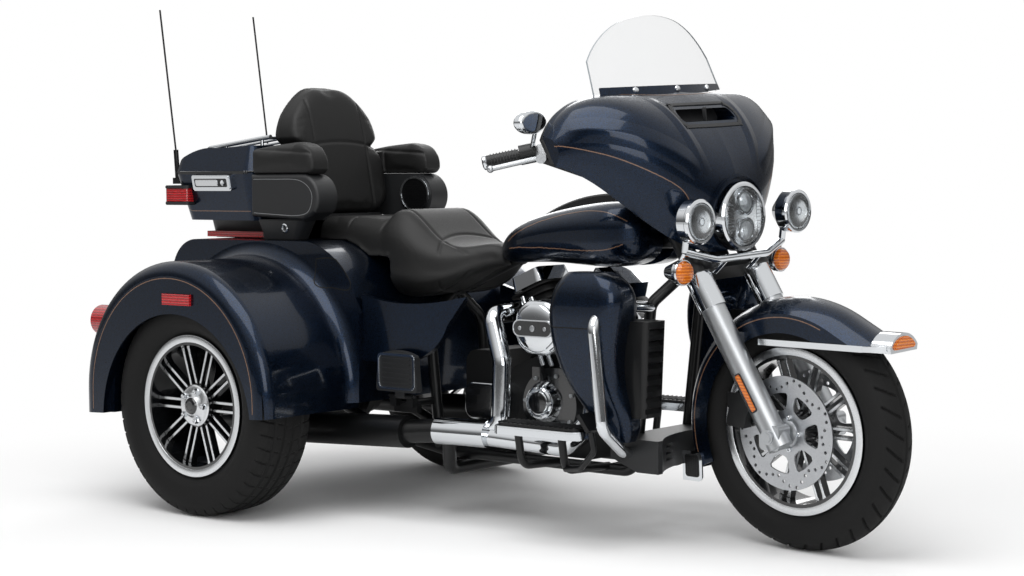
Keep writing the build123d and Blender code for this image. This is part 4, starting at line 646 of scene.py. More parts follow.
class TRIKE_OT_stage(bpy.types.Operator):
    """Floor, studio light, world and camera"""
    bl_idname = "trike.stage"
    bl_label = "Studio stage"

    def execute(self, context):
        studio, scene = context.scene.trike_studio, context.scene
        scene.view_settings.view_transform = "Standard"
        self.floor(scene, context.scene.trike_colours)
        self.world(scene)
        self.lamp(scene, "key_soft_box", (0.4, -1.4, 3.6), (0.0, 0.0, 0.5), 3.2, studio.key_watts)
        self.lamp(scene, "fill_soft_box", (3.6, -3.0, 1.9), (0.1, 0.0, 0.6), 2.2, studio.fill_watts)
        self.lamp(scene, "back_soft_box", (-2.2, 3.2, 2.4), (0.0, 0.0, 0.8), 2.4, studio.fill_watts)
        self.camera(scene, studio)
        return {"FINISHED"}

    def floor(self, scene, colours):
        """Sheet of white paper that reaches past the view, 30 m each way."""
        mesh = bpy.data.meshes.new("studio_floor")
        corners = [(30.0 * x, 30.0 * y, 0.0) for x, y in ((-1, -1), (1, -1), (1, 1), (-1, 1))]
        mesh.from_pydata(corners, [], [(0, 1, 2, 3)])
        floor = bpy.data.objects.new("studio_floor", mesh)
        scene.collection.objects.link(floor)
        # Matt paper floor: white, dulled by the shadow near the trike and lit evenly further out,
        # and darker in metal from 2.4 m on
        tree, paper, at = finish("white_paper_floor", Base_Color=linear(colours.floor), Roughness=0.9,
                                 Specular_IOR_Level=0.0)
        path = put(tree, "ShaderNodeLightPath").outputs
        reach = put(tree, "ShaderNodeVectorMath", {0: at}, operation="LENGTH").outputs["Value"]
        far = put(tree, "ShaderNodeMapRange",
                  {"Value": reach, "From Min": 2.4, "From Max": 6.0, "To Min": 1.0, "To Max": 0.15},
                  interpolation_type="SMOOTHSTEP").outputs[0]
        seen = put(tree, "ShaderNodeMath", {0: path["Is Glossy Ray"], 1: far},
                   operation="MULTIPLY").outputs[0]
        for ray in ("Is Camera Ray", "Is Transmission Ray"):
            seen = put(tree, "ShaderNodeMath", {0: seen, 1: path[ray]}, operation="MAXIMUM").outputs[0]
        fade = put(tree, "ShaderNodeMapRange", {"Value": reach, "From Min": 1.3, "From Max": 2.6},
                   interpolation_type="SMOOTHSTEP").outputs[0]
        share = put(tree, "ShaderNodeMath", {0: seen, 1: fade}, operation="MULTIPLY").outputs[0]
        glow = put(tree, "ShaderNodeEmission", {"Color": linear("#FFFFFF"), "Strength": 1.0}).outputs[0]
        mix = put(tree, "ShaderNodeMixShader", {0: share, 1: paper.outputs[0], 2: glow}).outputs[0]
        tree.links.new(mix, tree.nodes["Material Output"].inputs["Surface"])
        mesh.materials.append(FINISH["white_paper_floor"])

    def world(self, scene):
        """White to the camera and through glass, graded from a dark horizon for metal, else soft light."""
        world = bpy.data.worlds.new("studio_world")
        world.use_nodes = True
        scene.world = world
        tree = world.node_tree
        tree.nodes.clear()
        path = put(tree, "ShaderNodeLightPath").outputs
        shown = put(tree, "ShaderNodeMath", {0: path["Is Camera Ray"], 1: path["Is Transmission Ray"]},
                    operation="MAXIMUM").outputs[0]
        towards = put(tree, "ShaderNodeTexCoord").outputs["Generated"]
        height = put(tree, "ShaderNodeSeparateXYZ", {"Vector": towards}).outputs["Z"]
        band = put(tree, "ShaderNodeMapRange",
                   {"Value": height, "From Min": 0.05, "From Max": 0.6, "To Min": 0.12, "To Max": 0.9},
                   interpolation_type="SMOOTHSTEP").outputs[0]
        metal = put(tree, "ShaderNodeMath", {0: path["Is Glossy Ray"], 1: band},
                    operation="MULTIPLY").outputs[0]
        soft = put(tree, "ShaderNodeMath", {0: 1.0, 1: path["Is Glossy Ray"]},
                   operation="SUBTRACT").outputs[0]
        fill = put(tree, "ShaderNodeMath", {0: soft, 1: 0.55, 2: metal}, operation="MULTIPLY_ADD").outputs[0]
        level = put(tree, "ShaderNodeMath", {0: shown, 1: fill}, operation="MAXIMUM").outputs[0]
        light = put(tree, "ShaderNodeBackground", {"Color": linear("#FFFFFF"), "Strength": level}).outputs[0]
        put(tree, "ShaderNodeOutputWorld", {"Surface": light})

    def lamp(self, scene, name, at, towards, size, watts):
        """Square soft box that looks at a place, in metres."""
        data = bpy.data.lights.new(name, "AREA")
        data.size, data.energy = size, watts
        lamp = bpy.data.objects.new(name, data)
        scene.collection.objects.link(lamp)
        lamp.location = at
        lamp.rotation_euler = (Vector(towards) - Vector(at)).to_track_quat("-Z", "Y").to_euler()

    def camera(self, scene, studio):
        """Camera in the place and with the view line of the photograph."""
        data = bpy.data.cameras.new("photo_camera")
        data.sensor_width, data.lens = 36.0, studio.focal_mm
        camera = bpy.data.objects.new("photo_camera", data)
        scene.collection.objects.link(camera)
        yaw, pitch = studio.yaw, studio.pitch
        look = Vector((-math.sin(yaw) * math.cos(pitch), math.cos(yaw) * math.cos(pitch), -math.sin(pitch)))
        right = Vector((math.cos(yaw), math.sin(yaw), 0.0))
        up = right.cross(look)
        c, s = math.cos(studio.roll), math.sin(studio.roll)
        right, up = c * right + s * up, c * up - s * right
        turn = Matrix((right, up, -look)).transposed()
        camera.matrix_world = Matrix.Translation(studio.camera_at) @ turn.to_4x4()
        scene.camera = camera


class TRIKE_OT_finishes(bpy.types.Operator):
    """Materials of every CAD piece"""
    bl_idname = "trike.finishes"
    bl_label = "Finishes"

    def execute(self, context):
        make_finishes(context.scene.trike_colours)
        for name, node in NODES.items():
            slot = node.data.materials[0].name.split(".")[0]
            node.data.materials[0] = FINISH[NODE_FINISH.get(name, SLOT_FINISH[slot])]
        return {"FINISHED"}


class TRIKE_OT_tyres(bpy.types.Operator):
    """Treaded tyres on their wheels"""
    bl_idname = "trike.tyres"
    bl_label = "Tyres"

    def execute(self, context):
        sizes = context.scene.trike_sizes
        pitch = tread_pitch(front_section(), sizes.front_pitches, steps=18, cut=front_cut,
                            depth=sizes.tread_mm, shoulder=290, ridge=246)
        self.tyre("front_tyre", "front_wheel", pitch, sizes.front_pitches, FRONT_AXLE, steered=True)
        pitch = tread_pitch(rear_section(), sizes.rear_pitches, steps=14, cut=rear_cut,
                            depth=sizes.tread_mm, shoulder=300, ridge=236)
        for side, name in SIDES:
            axle = (REAR_X, side * HALF_TRACK, REAR_Z)
            self.tyre(f"rear_tyre_{name}", f"rear_wheel_{name}", pitch, sizes.rear_pitches, axle)
        return {"FINISHED"}

    def tyre(self, node, body, pitch, count, axle, steered=False):
        """One pitch repeated round its axle and welded."""
        ring = welded(repeat(mesh_of(pitch), count, "tyre_rubber", axle, turn=-math.tau / count))
        place(f"{node}_treaded", body, [(ring, "tyre_rubber")], [node], steered)


class TRIKE_OT_wheels(bpy.types.Operator):
    """Machined faces, rim edges, caps, nuts and drilled brake discs"""
    bl_idname = "trike.wheels"
    bl_label = "Wheels and discs"

    def execute(self, context):
        parts = []
        for side in (-1, 1):
            parts += self.faces(FRONT_AXLE, side, spoke_y=11, lip_y=49, hub_r=48, inner=192, flange=222)
        place("front_wheel_machined_faces", "front_wheel", parts, steered=True)
        for side, name in SIDES:
            centre = (REAR_X, side * HALF_TRACK, REAR_Z)
            parts = self.faces(centre, side, spoke_y=55, lip_y=85, hub_r=60, inner=178, flange=207.5)
            parts += self.hub(centre, side)
            place(f"rear_wheel_{name}_machined_faces", f"rear_wheel_{name}", parts)
        self.discs()
        return {"FINISHED"}

    def faces(self, centre, side, spoke_y, lip_y, hub_r, inner, flange):
        """Bright spoke faces and rim edge on one side of a wheel."""
        x, y, z = centre
        out = (0, side, 0)
        strips = []
        for lift in (-12, 12):
            loop = [(hub_r + 4, lift - 3.2), (inner - 14, lift - 3.6), (inner - 2, lift - 6),
                    (inner - 2, lift + 6), (inner - 14, lift + 3.6), (hub_r + 4, lift + 3.2)]
            strips.append(moved(plate(loop, 1.8), facing((0, side * spoke_y, 0), out)))
        spokes = repeat(mesh_of(*strips, bevel=0.6), 10, "machined_aluminium", centre, turn=math.tau / 10)
        edge = turned([(flange - 1, -0.5), (flange - 0.5, 1.2), (flange - 4, 2.2), (flange - 15, 1.6),
                       (flange - 21, 0.6), (flange - 22, -0.5)], 96, True)
        edge = mesh_of(moved(edge, facing((x, y + side * lip_y, z), out)))
        return [(spokes, "machined_aluminium"), (edge, "machined_aluminium")]

    def hub(self, centre, side):
        """Hub plate, centre cap and wheel nuts of a rear wheel."""
        x, y, z = centre
        stand_at = facing((x, y + side * 70, z), (0, side, 0))
        disc = turned([(22, -1), (60, -1), (61, 1), (57, 4), (40, 5), (34, 8), (27, 16), (22, 16)], 64, True)
        cap = turned([(0, 4), (25, 4), (25, 16), (22, 20), (14, 22), (12, 20.5), (0, 21)], 40)
        nut = turned([(0, 0), (9, 0), (9, 10), (7, 13), (4.5, 14), (0, 13)], 6)
        nuts = circled(moved(nut, Matrix.Translation((45, 0, 4))), 5, stand_at)
        return [(mesh_of(moved(disc, stand_at)), "machined_aluminium"), (mesh_of(*nuts), "chrome_plate"),
                (mesh_of(moved(cap, stand_at)), "black_gloss_enamel")]

    def discs(self):
        """Drilled front discs with their carrier bolts."""
        holes = []
        for n in range(7):
            outer = [(106, t) for t in (-16, -12, -6, 0, 6, 12, 16)]
            inner = [(100, 18.5), (76, 18), (64, 14), (60, 7), (60, -7), (64, -14), (76, -18), (100, -18.5)]
            holes.append([(r * math.cos(a), r * math.sin(a)) for r, a in
                          ((r, math.tau * n / 7 + math.radians(t)) for r, t in outer + inner)])
        for n in range(42):
            a, r = math.tau * n / 42, (116, 127, 138, 143, 132, 121)[n % 6]
            holes.append(oval(4.6, 4.6, 10, (r * math.cos(a), r * math.sin(a))))
        parts = []
        for side in (-1, 1):
            out = (0, side, 0)
            disc = punched([oval(150, 150, 96), oval(38, 38, 40)] + holes, DISC_FACE_Y - DISC_BACK_Y)
            disc = mesh_of(moved(disc, facing((FRONT_AXLE[0], side * DISC_BACK_Y, FRONT_AXLE[2]), out)))
            bolt = moved(cap_screw(6.5, 8), facing((44, side * DISC_FACE_Y, 0), out))
            bolts = round_ring(bolt, 5, "chrome_plate", FRONT_AXLE)
            cover = turned([(14, 0), (39, 0), (38, 5), (30, 9), (16, 9), (14, 6)], 48, True)
            cover = mesh_of(moved(cover, facing((FRONT_AXLE[0], side * DISC_FACE_Y, FRONT_AXLE[2]), out)))
            parts += [(disc, "ground_disc_steel"), (bolts, "chrome_plate"), (cover, "satin_cast_aluminium")]
        place("front_discs_drilled", "front_wheel", parts, ["front_discs"], steered=True)


class TRIKE_OT_upholstery(bpy.types.Operator):
    """Padded seat, backrest and arms with their seams"""
    bl_idname = "trike.upholstery"
    bl_label = "Upholstery"

    def execute(self, context):
        rise = context.scene.trike_sizes.pad_rise_mm
        seat = self.cushion("seat", 6.0, rise, free=lambda n: ease((n[2] + 0.45) / 0.5))
        self.sew(seat, [
            # signed distance to the seam as a function of the place, and which way the surface looks
            (lambda p: np.abs(p[:, 1]) - 118 - 0.0009 * (p[:, 0] + 60) ** 2 * (p[:, 0] > -60), 2),
            (lambda p: p[:, 0] + 196 - 0.0016 * p[:, 1] ** 2, 2),
            (lambda p: p[:, 0] + 352 + 0.0004 * p[:, 1] ** 2, 2),
            (lambda p: p[:, 0] + 505, 2),
        ])
        self.finish_pad("padded_seat", seat, "seat")
        rest = self.cushion("backrest", 5.0, rise, free=lambda n: ease((n[0] + 0.5) / 0.5))
        self.flare(rest)
        self.sew(rest, [
            (lambda p: np.abs(p[:, 1]) - 112 - 0.00035 * (p[:, 2] - 1100) ** 2 * (p[:, 2] < 1100), 0),
            (lambda p: p[:, 2] - 1096 + 0.0007 * p[:, 1] ** 2, 0),
        ])
        self.finish_pad("padded_backrest", rest, "backrest")
        foot = [moved(plate(rounded(96, wide, 30), high), Matrix.Translation((-748, 0, 794.5)))
                for wide, high in ((392, 76), (540, 61))]
        place("backrest_foot", "chassis", [(mesh_of(*foot, bevel=4.0), "moulded_black_abs")])
        arms = self.cushion("arm_pads", 5.0, rise,
                            free=lambda n: ease((n[2] + 0.6) / 0.5) * ease((n[0] + 0.6) / 0.5))
        self.sew(arms, [(lambda p: p[:, 2] - 1066 + 0.06 * (p[:, 0] + 660), 1)])
        self.finish_pad("padded_arms", arms, "arm_pads")
        return {"FINISHED"}

    def flare(self, mesh):
        """Sloping shoulders: the pad widens from its rounded top down to the arms."""
        co, _ = vertices_of(mesh)
        z = co[:, 2] / MM
        share = np.clip((1262 - z) / 150, 0, 1) * np.clip((z - 1062) / 50, 0, 1)
        co[:, 1] *= 1 + 0.36 * share * share * (3 - 2 * share)
        mesh.vertices.foreach_set("co", co.ravel())

    def cushion(self, node, voxel_mm, rise, free):
        """Foam form: the solid remeshed, drawn in a little and blown up as cloth, held where it rests."""
        scene = bpy.context.scene
        mesh = NODES[node].data.copy()
        work = bmesh.new()
        work.from_mesh(mesh)
        bmesh.ops.remove_doubles(work, verts=work.verts, dist=1e-6)
        work.to_mesh(mesh)
        work.free()
        thing = bpy.data.objects.new("foam", mesh)
        blocks = thing.modifiers.new("foam", "REMESH")
        blocks.mode, blocks.voxel_size = "VOXEL", voxel_mm * MM
        mesh = baked(thing)
        start, out = vertices_of(mesh)
        loose = np.array([free(n) for n in out])[:, None]
        start = start - out * 2.0 * MM * loose
        mesh.vertices.foreach_set("co", start.ravel())
        swell = self.blow(scene, mesh, start)
        length = np.linalg.norm(swell, axis=1, keepdims=True)
        swell = swell * np.minimum(1.0, rise * MM / np.maximum(length, 1e-9))
        mesh.vertices.foreach_set("co", (start + swell * loose).ravel())
        smoother = bpy.data.objects.new("foam", mesh)
        calm = smoother.modifiers.new("calm", "SMOOTH")
        calm.factor, calm.iterations = 0.5, 6
        fine = smoother.modifiers.new("fine", "SUBSURF")
        fine.levels = fine.render_levels = 1
        return baked(smoother)

    def blow(self, scene, mesh, start):
        """How far each point moves when the cover is blown up."""
        thing = bpy.data.objects.new("cover", mesh)
        scene.collection.objects.link(thing)
        cover = thing.modifiers.new("cover", "CLOTH")
        cover.settings.use_pressure, cover.settings.uniform_pressure_force = True, 4.0
        cover.settings.effector_weights.gravity = 0.0
        cover.settings.quality = 5
        cover.point_cache.frame_start, cover.point_cache.frame_end = 1, 20
        for step in range(1, 21):
            scene.frame_set(step)
        blown = thing.evaluated_get(bpy.context.evaluated_depsgraph_get()).to_mesh()
        ends = np.empty(len(mesh.vertices) * 3)
        blown.vertices.foreach_get("co", ends)
        bpy.data.objects.remove(thing)
        scene.frame_set(1)
        return ends.reshape(-1, 3) - start

    def sew(self, mesh, seams, deep=3.2, wide=5.0):
        """Draws the cover in along its seams."""
        co, out = vertices_of(mesh)
        pull = np.zeros(len(co))
        for gap, way in seams:
            shown = np.clip((np.abs(out[:, way]) - 0.35) / 0.3, 0, 1)
            pull = np.maximum(pull, shown * np.exp(-(gap(co / MM) / wide) ** 2))
        mesh.vertices.foreach_set("co", (co - out * (pull * deep * MM)[:, None]).ravel())

    def finish_pad(self, name, mesh, node):
        """Covers a pad and stands it in the place of its CAD piece."""
        mesh.materials.clear()
        mesh.materials.append(FINISH["grained_black_vinyl"])
        mesh.polygons.foreach_set("use_smooth", [True] * len(mesh.polygons))
        stand(name, mesh, "chassis", [node])


class TRIKE_OT_lamps(bpy.types.Operator):
    """Headlamp, passing lamps, signals, nose lamp, reflectors and tail lamp housings"""
    bl_idname = "trike.lamps"
    bl_label = "Lamps"

    def execute(self, context):
        self.headlamp()
        self.spots()
        self.signals()
        self.tail()
        return {"FINISHED"}

    def headlamp(self):
        """Bowl with two projectors one above the other, slatted reflectors beside them and a clear cover."""
        at = facing((812, 0, LAMP_Z), (1, 0, 0))
        shell = turned([(0, -76), (46, -76), (66, -72), (93, -42), (93, -16), (92, -7), (87, -2), (81, -3),
                        (78, -9), (77, -24), (0, -24)], 72)
        back = turned([(0, -23.5), (76.5, -23.5), (76.5, -16), (70, -20), (0, -20)], 64)
        ring = turned([(34, -20), (34, -9), (31, -6), (28, -8), (27, -20)], 40, True)
        light = turned([(0, -19), (27, -19), (24, -9), (15, -4), (0, -2)], 32)
        pair = [at @ Matrix.Translation((0, rise, 0)) for rise in (-36, 36)]
        sides = [moved(plate(oval(9, 40, 24), 7), at @ Matrix.Translation((s * 54, 0, -20))) for s in (-1, 1)]
        slat = mesh_of(moved(plate(rounded(18, 2.2, 1, 2), 2.5), at.to_3x3().to_4x4()), bevel=0.4)
        slats = [(repeat(slat, 8, "satin_cast_aluminium", at @ Vector((s * 54, -32, -13)), step=(0, 0, 9)),
                  "satin_cast_aluminium") for s in (-1, 1)]
        cover = turned([(79, -7), (74, -1), (58, 4), (30, 8), (0, 9), (0, 7), (30, 6), (57, 2), (72, -3),
                        (77, -8)], 64)
        place("headlamp_with_projectors", "steering", [
            (mesh_of(moved(shell, at)), "chrome_plate"), (mesh_of(moved(back, at)), "machined_aluminium"),
            (mesh_of(*(moved(ring, here) for here in pair)), "chrome_plate"),
            (mesh_of(*(moved(light, here) for here in pair)), "lamp_crystal"),
            (mesh_of(*sides), "chrome_plate"), *slats, (mesh_of(moved(cover, at)), "clear_lens")],
            ["headlamp"], steered=True)

    def spots(self):
        """Bezel, dish, bulb cap and clear cover of both passing lamps."""
        bezel = turned([(57, -3), (59.5, 1), (59, 8), (55, 12), (50, 11), (48.5, 6), (48, -1)], 56, True)
        dish = turned([(0, 0.2), (48.5, 0.2), (48.5, 9), (42, 5), (30, 2), (0, 1)], 56)
        cap = turned([(0, 1), (9, 1), (11, 5), (8, 9), (0, 10)], 24)
        cover = turned([(49.5, 9), (40, 13), (22, 16), (0, 17), (0, 15.6), (22, 14.6), (40, 11.6),
                        (48.5, 8)], 56)
        pair = [facing((820, side * PASSING_LAMP_Y, LAMP_Z), (1, 0, 0)) for side in (-1, 1)]
        coats = ((bezel, "chrome_plate"), (dish, "machined_aluminium"), (cap, "chrome_plate"),
                 (cover, "clear_lens"))
        place("passing_lamp_lenses", "steering",
              [(mesh_of(*(moved(form, at) for at in pair)), coat) for form, coat in coats], steered=True)

    def signals(self):
        """Amber domes under the passing lamps, reflectors by the fork and the lens of the guard's nose."""
        domes, rings, strips, frames = [], [], [], []
        lean = (-math.sin(FORK_LEAN), 0, math.cos(FORK_LEAN))
        fork_x = FRONT_AXLE[0] - FORK_STRIP_RISE * math.tan(FORK_LEAN)
        fork_z = FRONT_AXLE[2] + FORK_STRIP_RISE
        for side in (-1, 1):
            at = facing((762, side * PASSING_LAMP_Y, SIGNAL_Z), (1, 0, 0))
            domes.append(moved(turned([(0, 0), (31, 0), (31, 7), (26, 15), (15, 20), (0, 22)], 40), at))
            rings.append(moved(turned([(33, -4), (35, 0), (34, 5), (31, 5), (31, -4)], 40, True), at))
            spot = facing((fork_x, side * 154, fork_z), (0, side, 0), lean)
            strips.append(moved(plate(rounded(15, 104, 5), 4), spot))
            frames.append(moved(plate(rounded(21, 112, 7), 2.4), spot))
        lens = moved(plate([(-46, 0)] + arc((-46, 0), (0, 24), (46, 0), 20) + [(42, -8), (-42, -8)], 26),
                     facing((1281.5, 0, 560), (1, 0, 0)))
        self.flaps()
        place("amber_lenses", "steering", [
            (mesh_of(*domes), "amber_lens"), (mesh_of(*strips, bevel=1.0), "amber_lens"),
            (mesh_of(lens, bevel=2.0), "amber_lens"), (mesh_of(*rings), "chrome_plate"),
            (mesh_of(*frames, bevel=0.8), "moulded_black_abs")], steered=True)

    def flaps(self):
        """Black mesh inserts in the bright flaps on the front guard's tail."""
        trim, turn = skin("guard_trim"), PARK.to_3x3()
        plates, wires = [], []
        for side in (-1, 1):
            at = facing(*struck(trim, PARK @ Vector((673, side * 300, 204)), turn @ Vector((0, -side, 0))))
            plates.append(moved(plate(rounded(48, 62, 9), 1.2), at))
            for wide, high, reach, along, up in ((44, 1.6, 4, 0.0, 6.4), (1.6, 58, 3, 6.4, 0.0)):
                wire = plate(rounded(wide, high, 0.7, 2), 1.0)
                wires += [moved(wire, at @ Matrix.Translation((along * n, up * n, 1.0)))
                          for n in range(-reach, reach + 1)]
        place("guard_flap_inserts", "steering",
              [(mesh_of(*plates, bevel=0.3), "moulded_black_abs"), (mesh_of(*wires), "black_powder_coat")])

    def tail(self):
        """Black housings round the top case's corner lamps."""
        caps = [moved(plate(rounded(108, 88, 15), thick), Matrix.Translation((-1156, side * 252, z)))
                for side in (-1, 1) for z, thick in ((899.5, 12), (951, 11))]
        place("corner_lamp_housings", "chassis",
              [(mesh_of(*caps, bevel=2.0), "moulded_black_abs")])


class TRIKE_OT_pinstripes(bpy.types.Operator):
    """Hand-laid lines on the painted panels and the seams of the doors"""
    bl_idname = "trike.pinstripes"
    bl_label = "Pinstripes and seams"

    def execute(self, context):
        wide = context.scene.trike_sizes.stripe_mm
        self.front_lines(wide)
        self.strip_ends()
        self.rear_lines(wide)
        self.seams()
        return {"FINISHED"}

    def front_lines(self, wide):
        """Lines round the front guard, along the fairing's wings and over its scoop."""
        guard, fairing = skin("front_guard"), skin("fairing")
        x, _, z = FRONT_AXLE
        turns = [math.radians(a) for a in range(66, 199, 6)]
        lines = []
        for y in (-90, 90):
            path = [(x + GUARD_LINE_R * math.cos(a), y, z + GUARD_LINE_R * math.sin(a)) for a in turns]
            lines.append(laid(guard, path, wide, steered=True))
        wing = ((512, 408, 1084), (566, 380, 1076), (640, 326, 1052), (700, 256, 1012), (742, 184, 962),
                (752, 150, 912))
        for side in (-1, 1):
            lines.append(laid(fairing, [(x, side * y, z) for x, y, z in wing], wide, steered=True))
        over = [(604 - 0.0009 * y * y, y, 1196) for y in range(-210, 211, 42)]
        lines.append(laid(fairing, over, wide, steered=True))
        place("front_pinstripes", "steering", [(mesh_of(*lines), "tan_enamel_line")])

    def strip_ends(self):
        """Bright corners where the guard's edge strips meet the nose lamp."""
        corner = [(1234, 83.9), (1238, 76), (1256, 64), (1280, 56), (1292, 60), (1280, 71), (1264, 81),
                  (1250, 87), (1234, 88.4)]
        other = [(x, -y) for x, y in reversed(corner)]
        ends = [moved(plate(loop, 15), Matrix.Translation((0, 0, 548.5))) for loop in (corner, other)]
        place("guard_strip_ends", "steering", [(mesh_of(*ends, bevel=1.0), "chrome_plate")],
              steered=True)

    def rear_lines(self, wide):
        """Lines on the tank, over the wheel arches and along the top case."""
        tank, body, base = skin("fuel_tank"), skin("rear_body"), skin("trunk_base")
        turns = [math.radians(a) for a in range(0, 181, 6)]
        arch = [(ARCH_LINE_R * math.cos(a), ARCH_LINE_R * math.sin(a)) for a in turns]
        arch = [(ARCH_LINE_R, -22)] + arch + [(-ARCH_LINE_R, -54)]
        arch = [(x - 735, 346 + z) for x, z in arch]
        lines = []
        for side in (-1, 1):
            low = at_side(side * 190, (40, 774), (180, 770), (320, 768), (450, 774), (530, 792))
            high = at_side(side * 150, (40, 808), (110, 846), (210, 880), (330, 896), (440, 886), (520, 864))
            case = at_side(side * 300, (-1150, 872), (-1050, 872), (-950, 872), (-840, 872))
            lines += [laid(tank, low, wide), laid(tank, high, wide),
                      laid(body, at_side(side * 700, *arch), wide), laid(base, case, wide)]
        place("rear_pinstripes", "chassis", [(mesh_of(*lines), "tan_enamel_line")])

    def seams(self):
        """Dark gaps round the body's side doors and the leg shields' lockers."""
        body, shield = skin("rear_body"), skin("leg_shields")
        gaps = []
        for side in (-1, 1):
            door = at_side(side * 345, (-484, 745), (-480, 672), (-420, 662), (-352, 658), (-344, 690),
                           (-350, 730), (-420, 748), (-484, 745))
            gaps.append(laid(body, door, SEAM_WIDE, SEAM_RISE))
        for side in (-1, 1):
            locker = at_side(side * 420, (486, 724), (450, 690), (432, 640), (430, 590), (500, 586),
                             (570, 586), (622, 592))
            gaps.append(laid(shield, locker, SEAM_WIDE, SEAM_RISE))
        place("door_seams", "chassis", [(mesh_of(*gaps), "tyre_rubber")])


class TRIKE_OT_engine(bpy.types.Operator):
    """Cover screws and caps, two-tone covers and exhaust, and the dressed air cleaner"""
    bl_idname = "trike.engine"
    bl_label = "Engine dress"

    def execute(self, context):
        self.right_cover()
        two_toned("engine_covers_two_tone", "engine_covers", "chassis",
                  ("chrome_plate", "black_gloss_enamel"), self.black_face)
        self.left_cover()
        two_toned("exhaust_two_tone", "exhaust_pipes", "chassis",
                  ("chrome_plate", "black_powder_coat"), lambda at, out: at.z < 204)
        self.air_cleaner()
        return {"FINISHED"}

    def black_face(self, at, out):
        """Black faces of the bright covers: the right one's recess, the one behind it, and the left one."""
        recess = abs(at.y + 118.3) < 0.6 and out.y < -0.9
        behind = at.x < 100 and at.y < -161 and out.y < -0.9
        left = at.y > 60 and out.y > 0.98
        return recess or behind or left

    def right_cover(self):
        """Ring of screws and the round cap with its black middle on the right cover."""
        turns = [math.tau * (n + 0.4) / 7 for n in range(7)]
        ring = [(222 + 86 * math.cos(a), -BESIDE, 341 + 86 * math.sin(a)) for a in turns]
        screws = screwed("engine_covers", ring, (0, 1, 0), 6.0, 7.0)
        at = facing(*struck(skin("engine_covers"), (204, -BESIDE, 347), (0, 1, 0)))
        dome = moved(turned([(0, -0.5), (44, -0.5), (45, 3), (40, 6), (34, 5), (31, 7), (0, 9)], 64), at)
        caps = circled(moved(cap_screw(4, 4), Matrix.Translation((39, 0, 5))), 5, at)
        middle = moved(turned([(0, 8), (31, 6.5), (30, 9), (27, 10), (0, 10.5)], 48), at)
        place("engine_cover_screws", "chassis",
              [(mesh_of(*screws, *caps), "satin_cast_aluminium"), (mesh_of(dome), "chrome_plate"),
               (mesh_of(middle), "black_gloss_enamel")])

    def left_cover(self):
        """Round cap with its screws on the primary cover."""
        at = facing(*struck(skin("engine_covers"), (262, BESIDE, 330), (0, -1, 0)))
        dome = moved(turned([(0, -0.5), (56, -0.5), (58, 3), (52, 7), (40, 9), (0, 11)], 64), at)
        caps = circled(moved(cap_screw(4, 4), Matrix.Translation((48, 0, 7))), 5, at)
        place("primary_cover_cap", "chassis",
              [(mesh_of(dome), "chrome_plate"), (mesh_of(*caps), "satin_cast_aluminium")])

    def air_cleaner(self):
        """Black band with its bright bead and screws across the intake's domed face."""
        at = facing((AIR_CLEANER_X, -217.5, AIR_CLEANER_Z), (0, -1, 0))
        bow = [math.radians(a) for a in range(0, 91, 10)]
        dome = turned([(70 * math.sin(a), 13 * math.cos(a) - 1.0) for a in bow], 64)
        dome = moved(dome, at @ Matrix.Diagonal((1.03, 0.96, 1.0, 1.0)))
        band = mesh_of(moved(plate(rounded(136, 44, 21), 15), at), bevel=2.0)
        bead = mesh_of(moved(punched([rounded(140, 48, 23), rounded(132, 40, 19)], 16.5), at), bevel=0.8)
        screws = [moved(cap_screw(r, 4), at @ Matrix.Translation((x, 0, 14.5)))
                  for x, r in ((-44, 6), (0, 9), (44, 6))]
        back = mesh_of(moved(punched([rounded(164, 156, 64), rounded(150, 142, 58)], 8),
                             facing((AIR_CLEANER_X, -150, AIR_CLEANER_Z), (0, -1, 0))), bevel=1.0)
        place("air_cleaner_cover", "chassis",
              [(mesh_of(dome), "chrome_plate"), (band, "black_gloss_enamel"), (bead, "chrome_plate"),
               (mesh_of(*screws), "satin_cast_aluminium"), (back, "moulded_black_abs")])


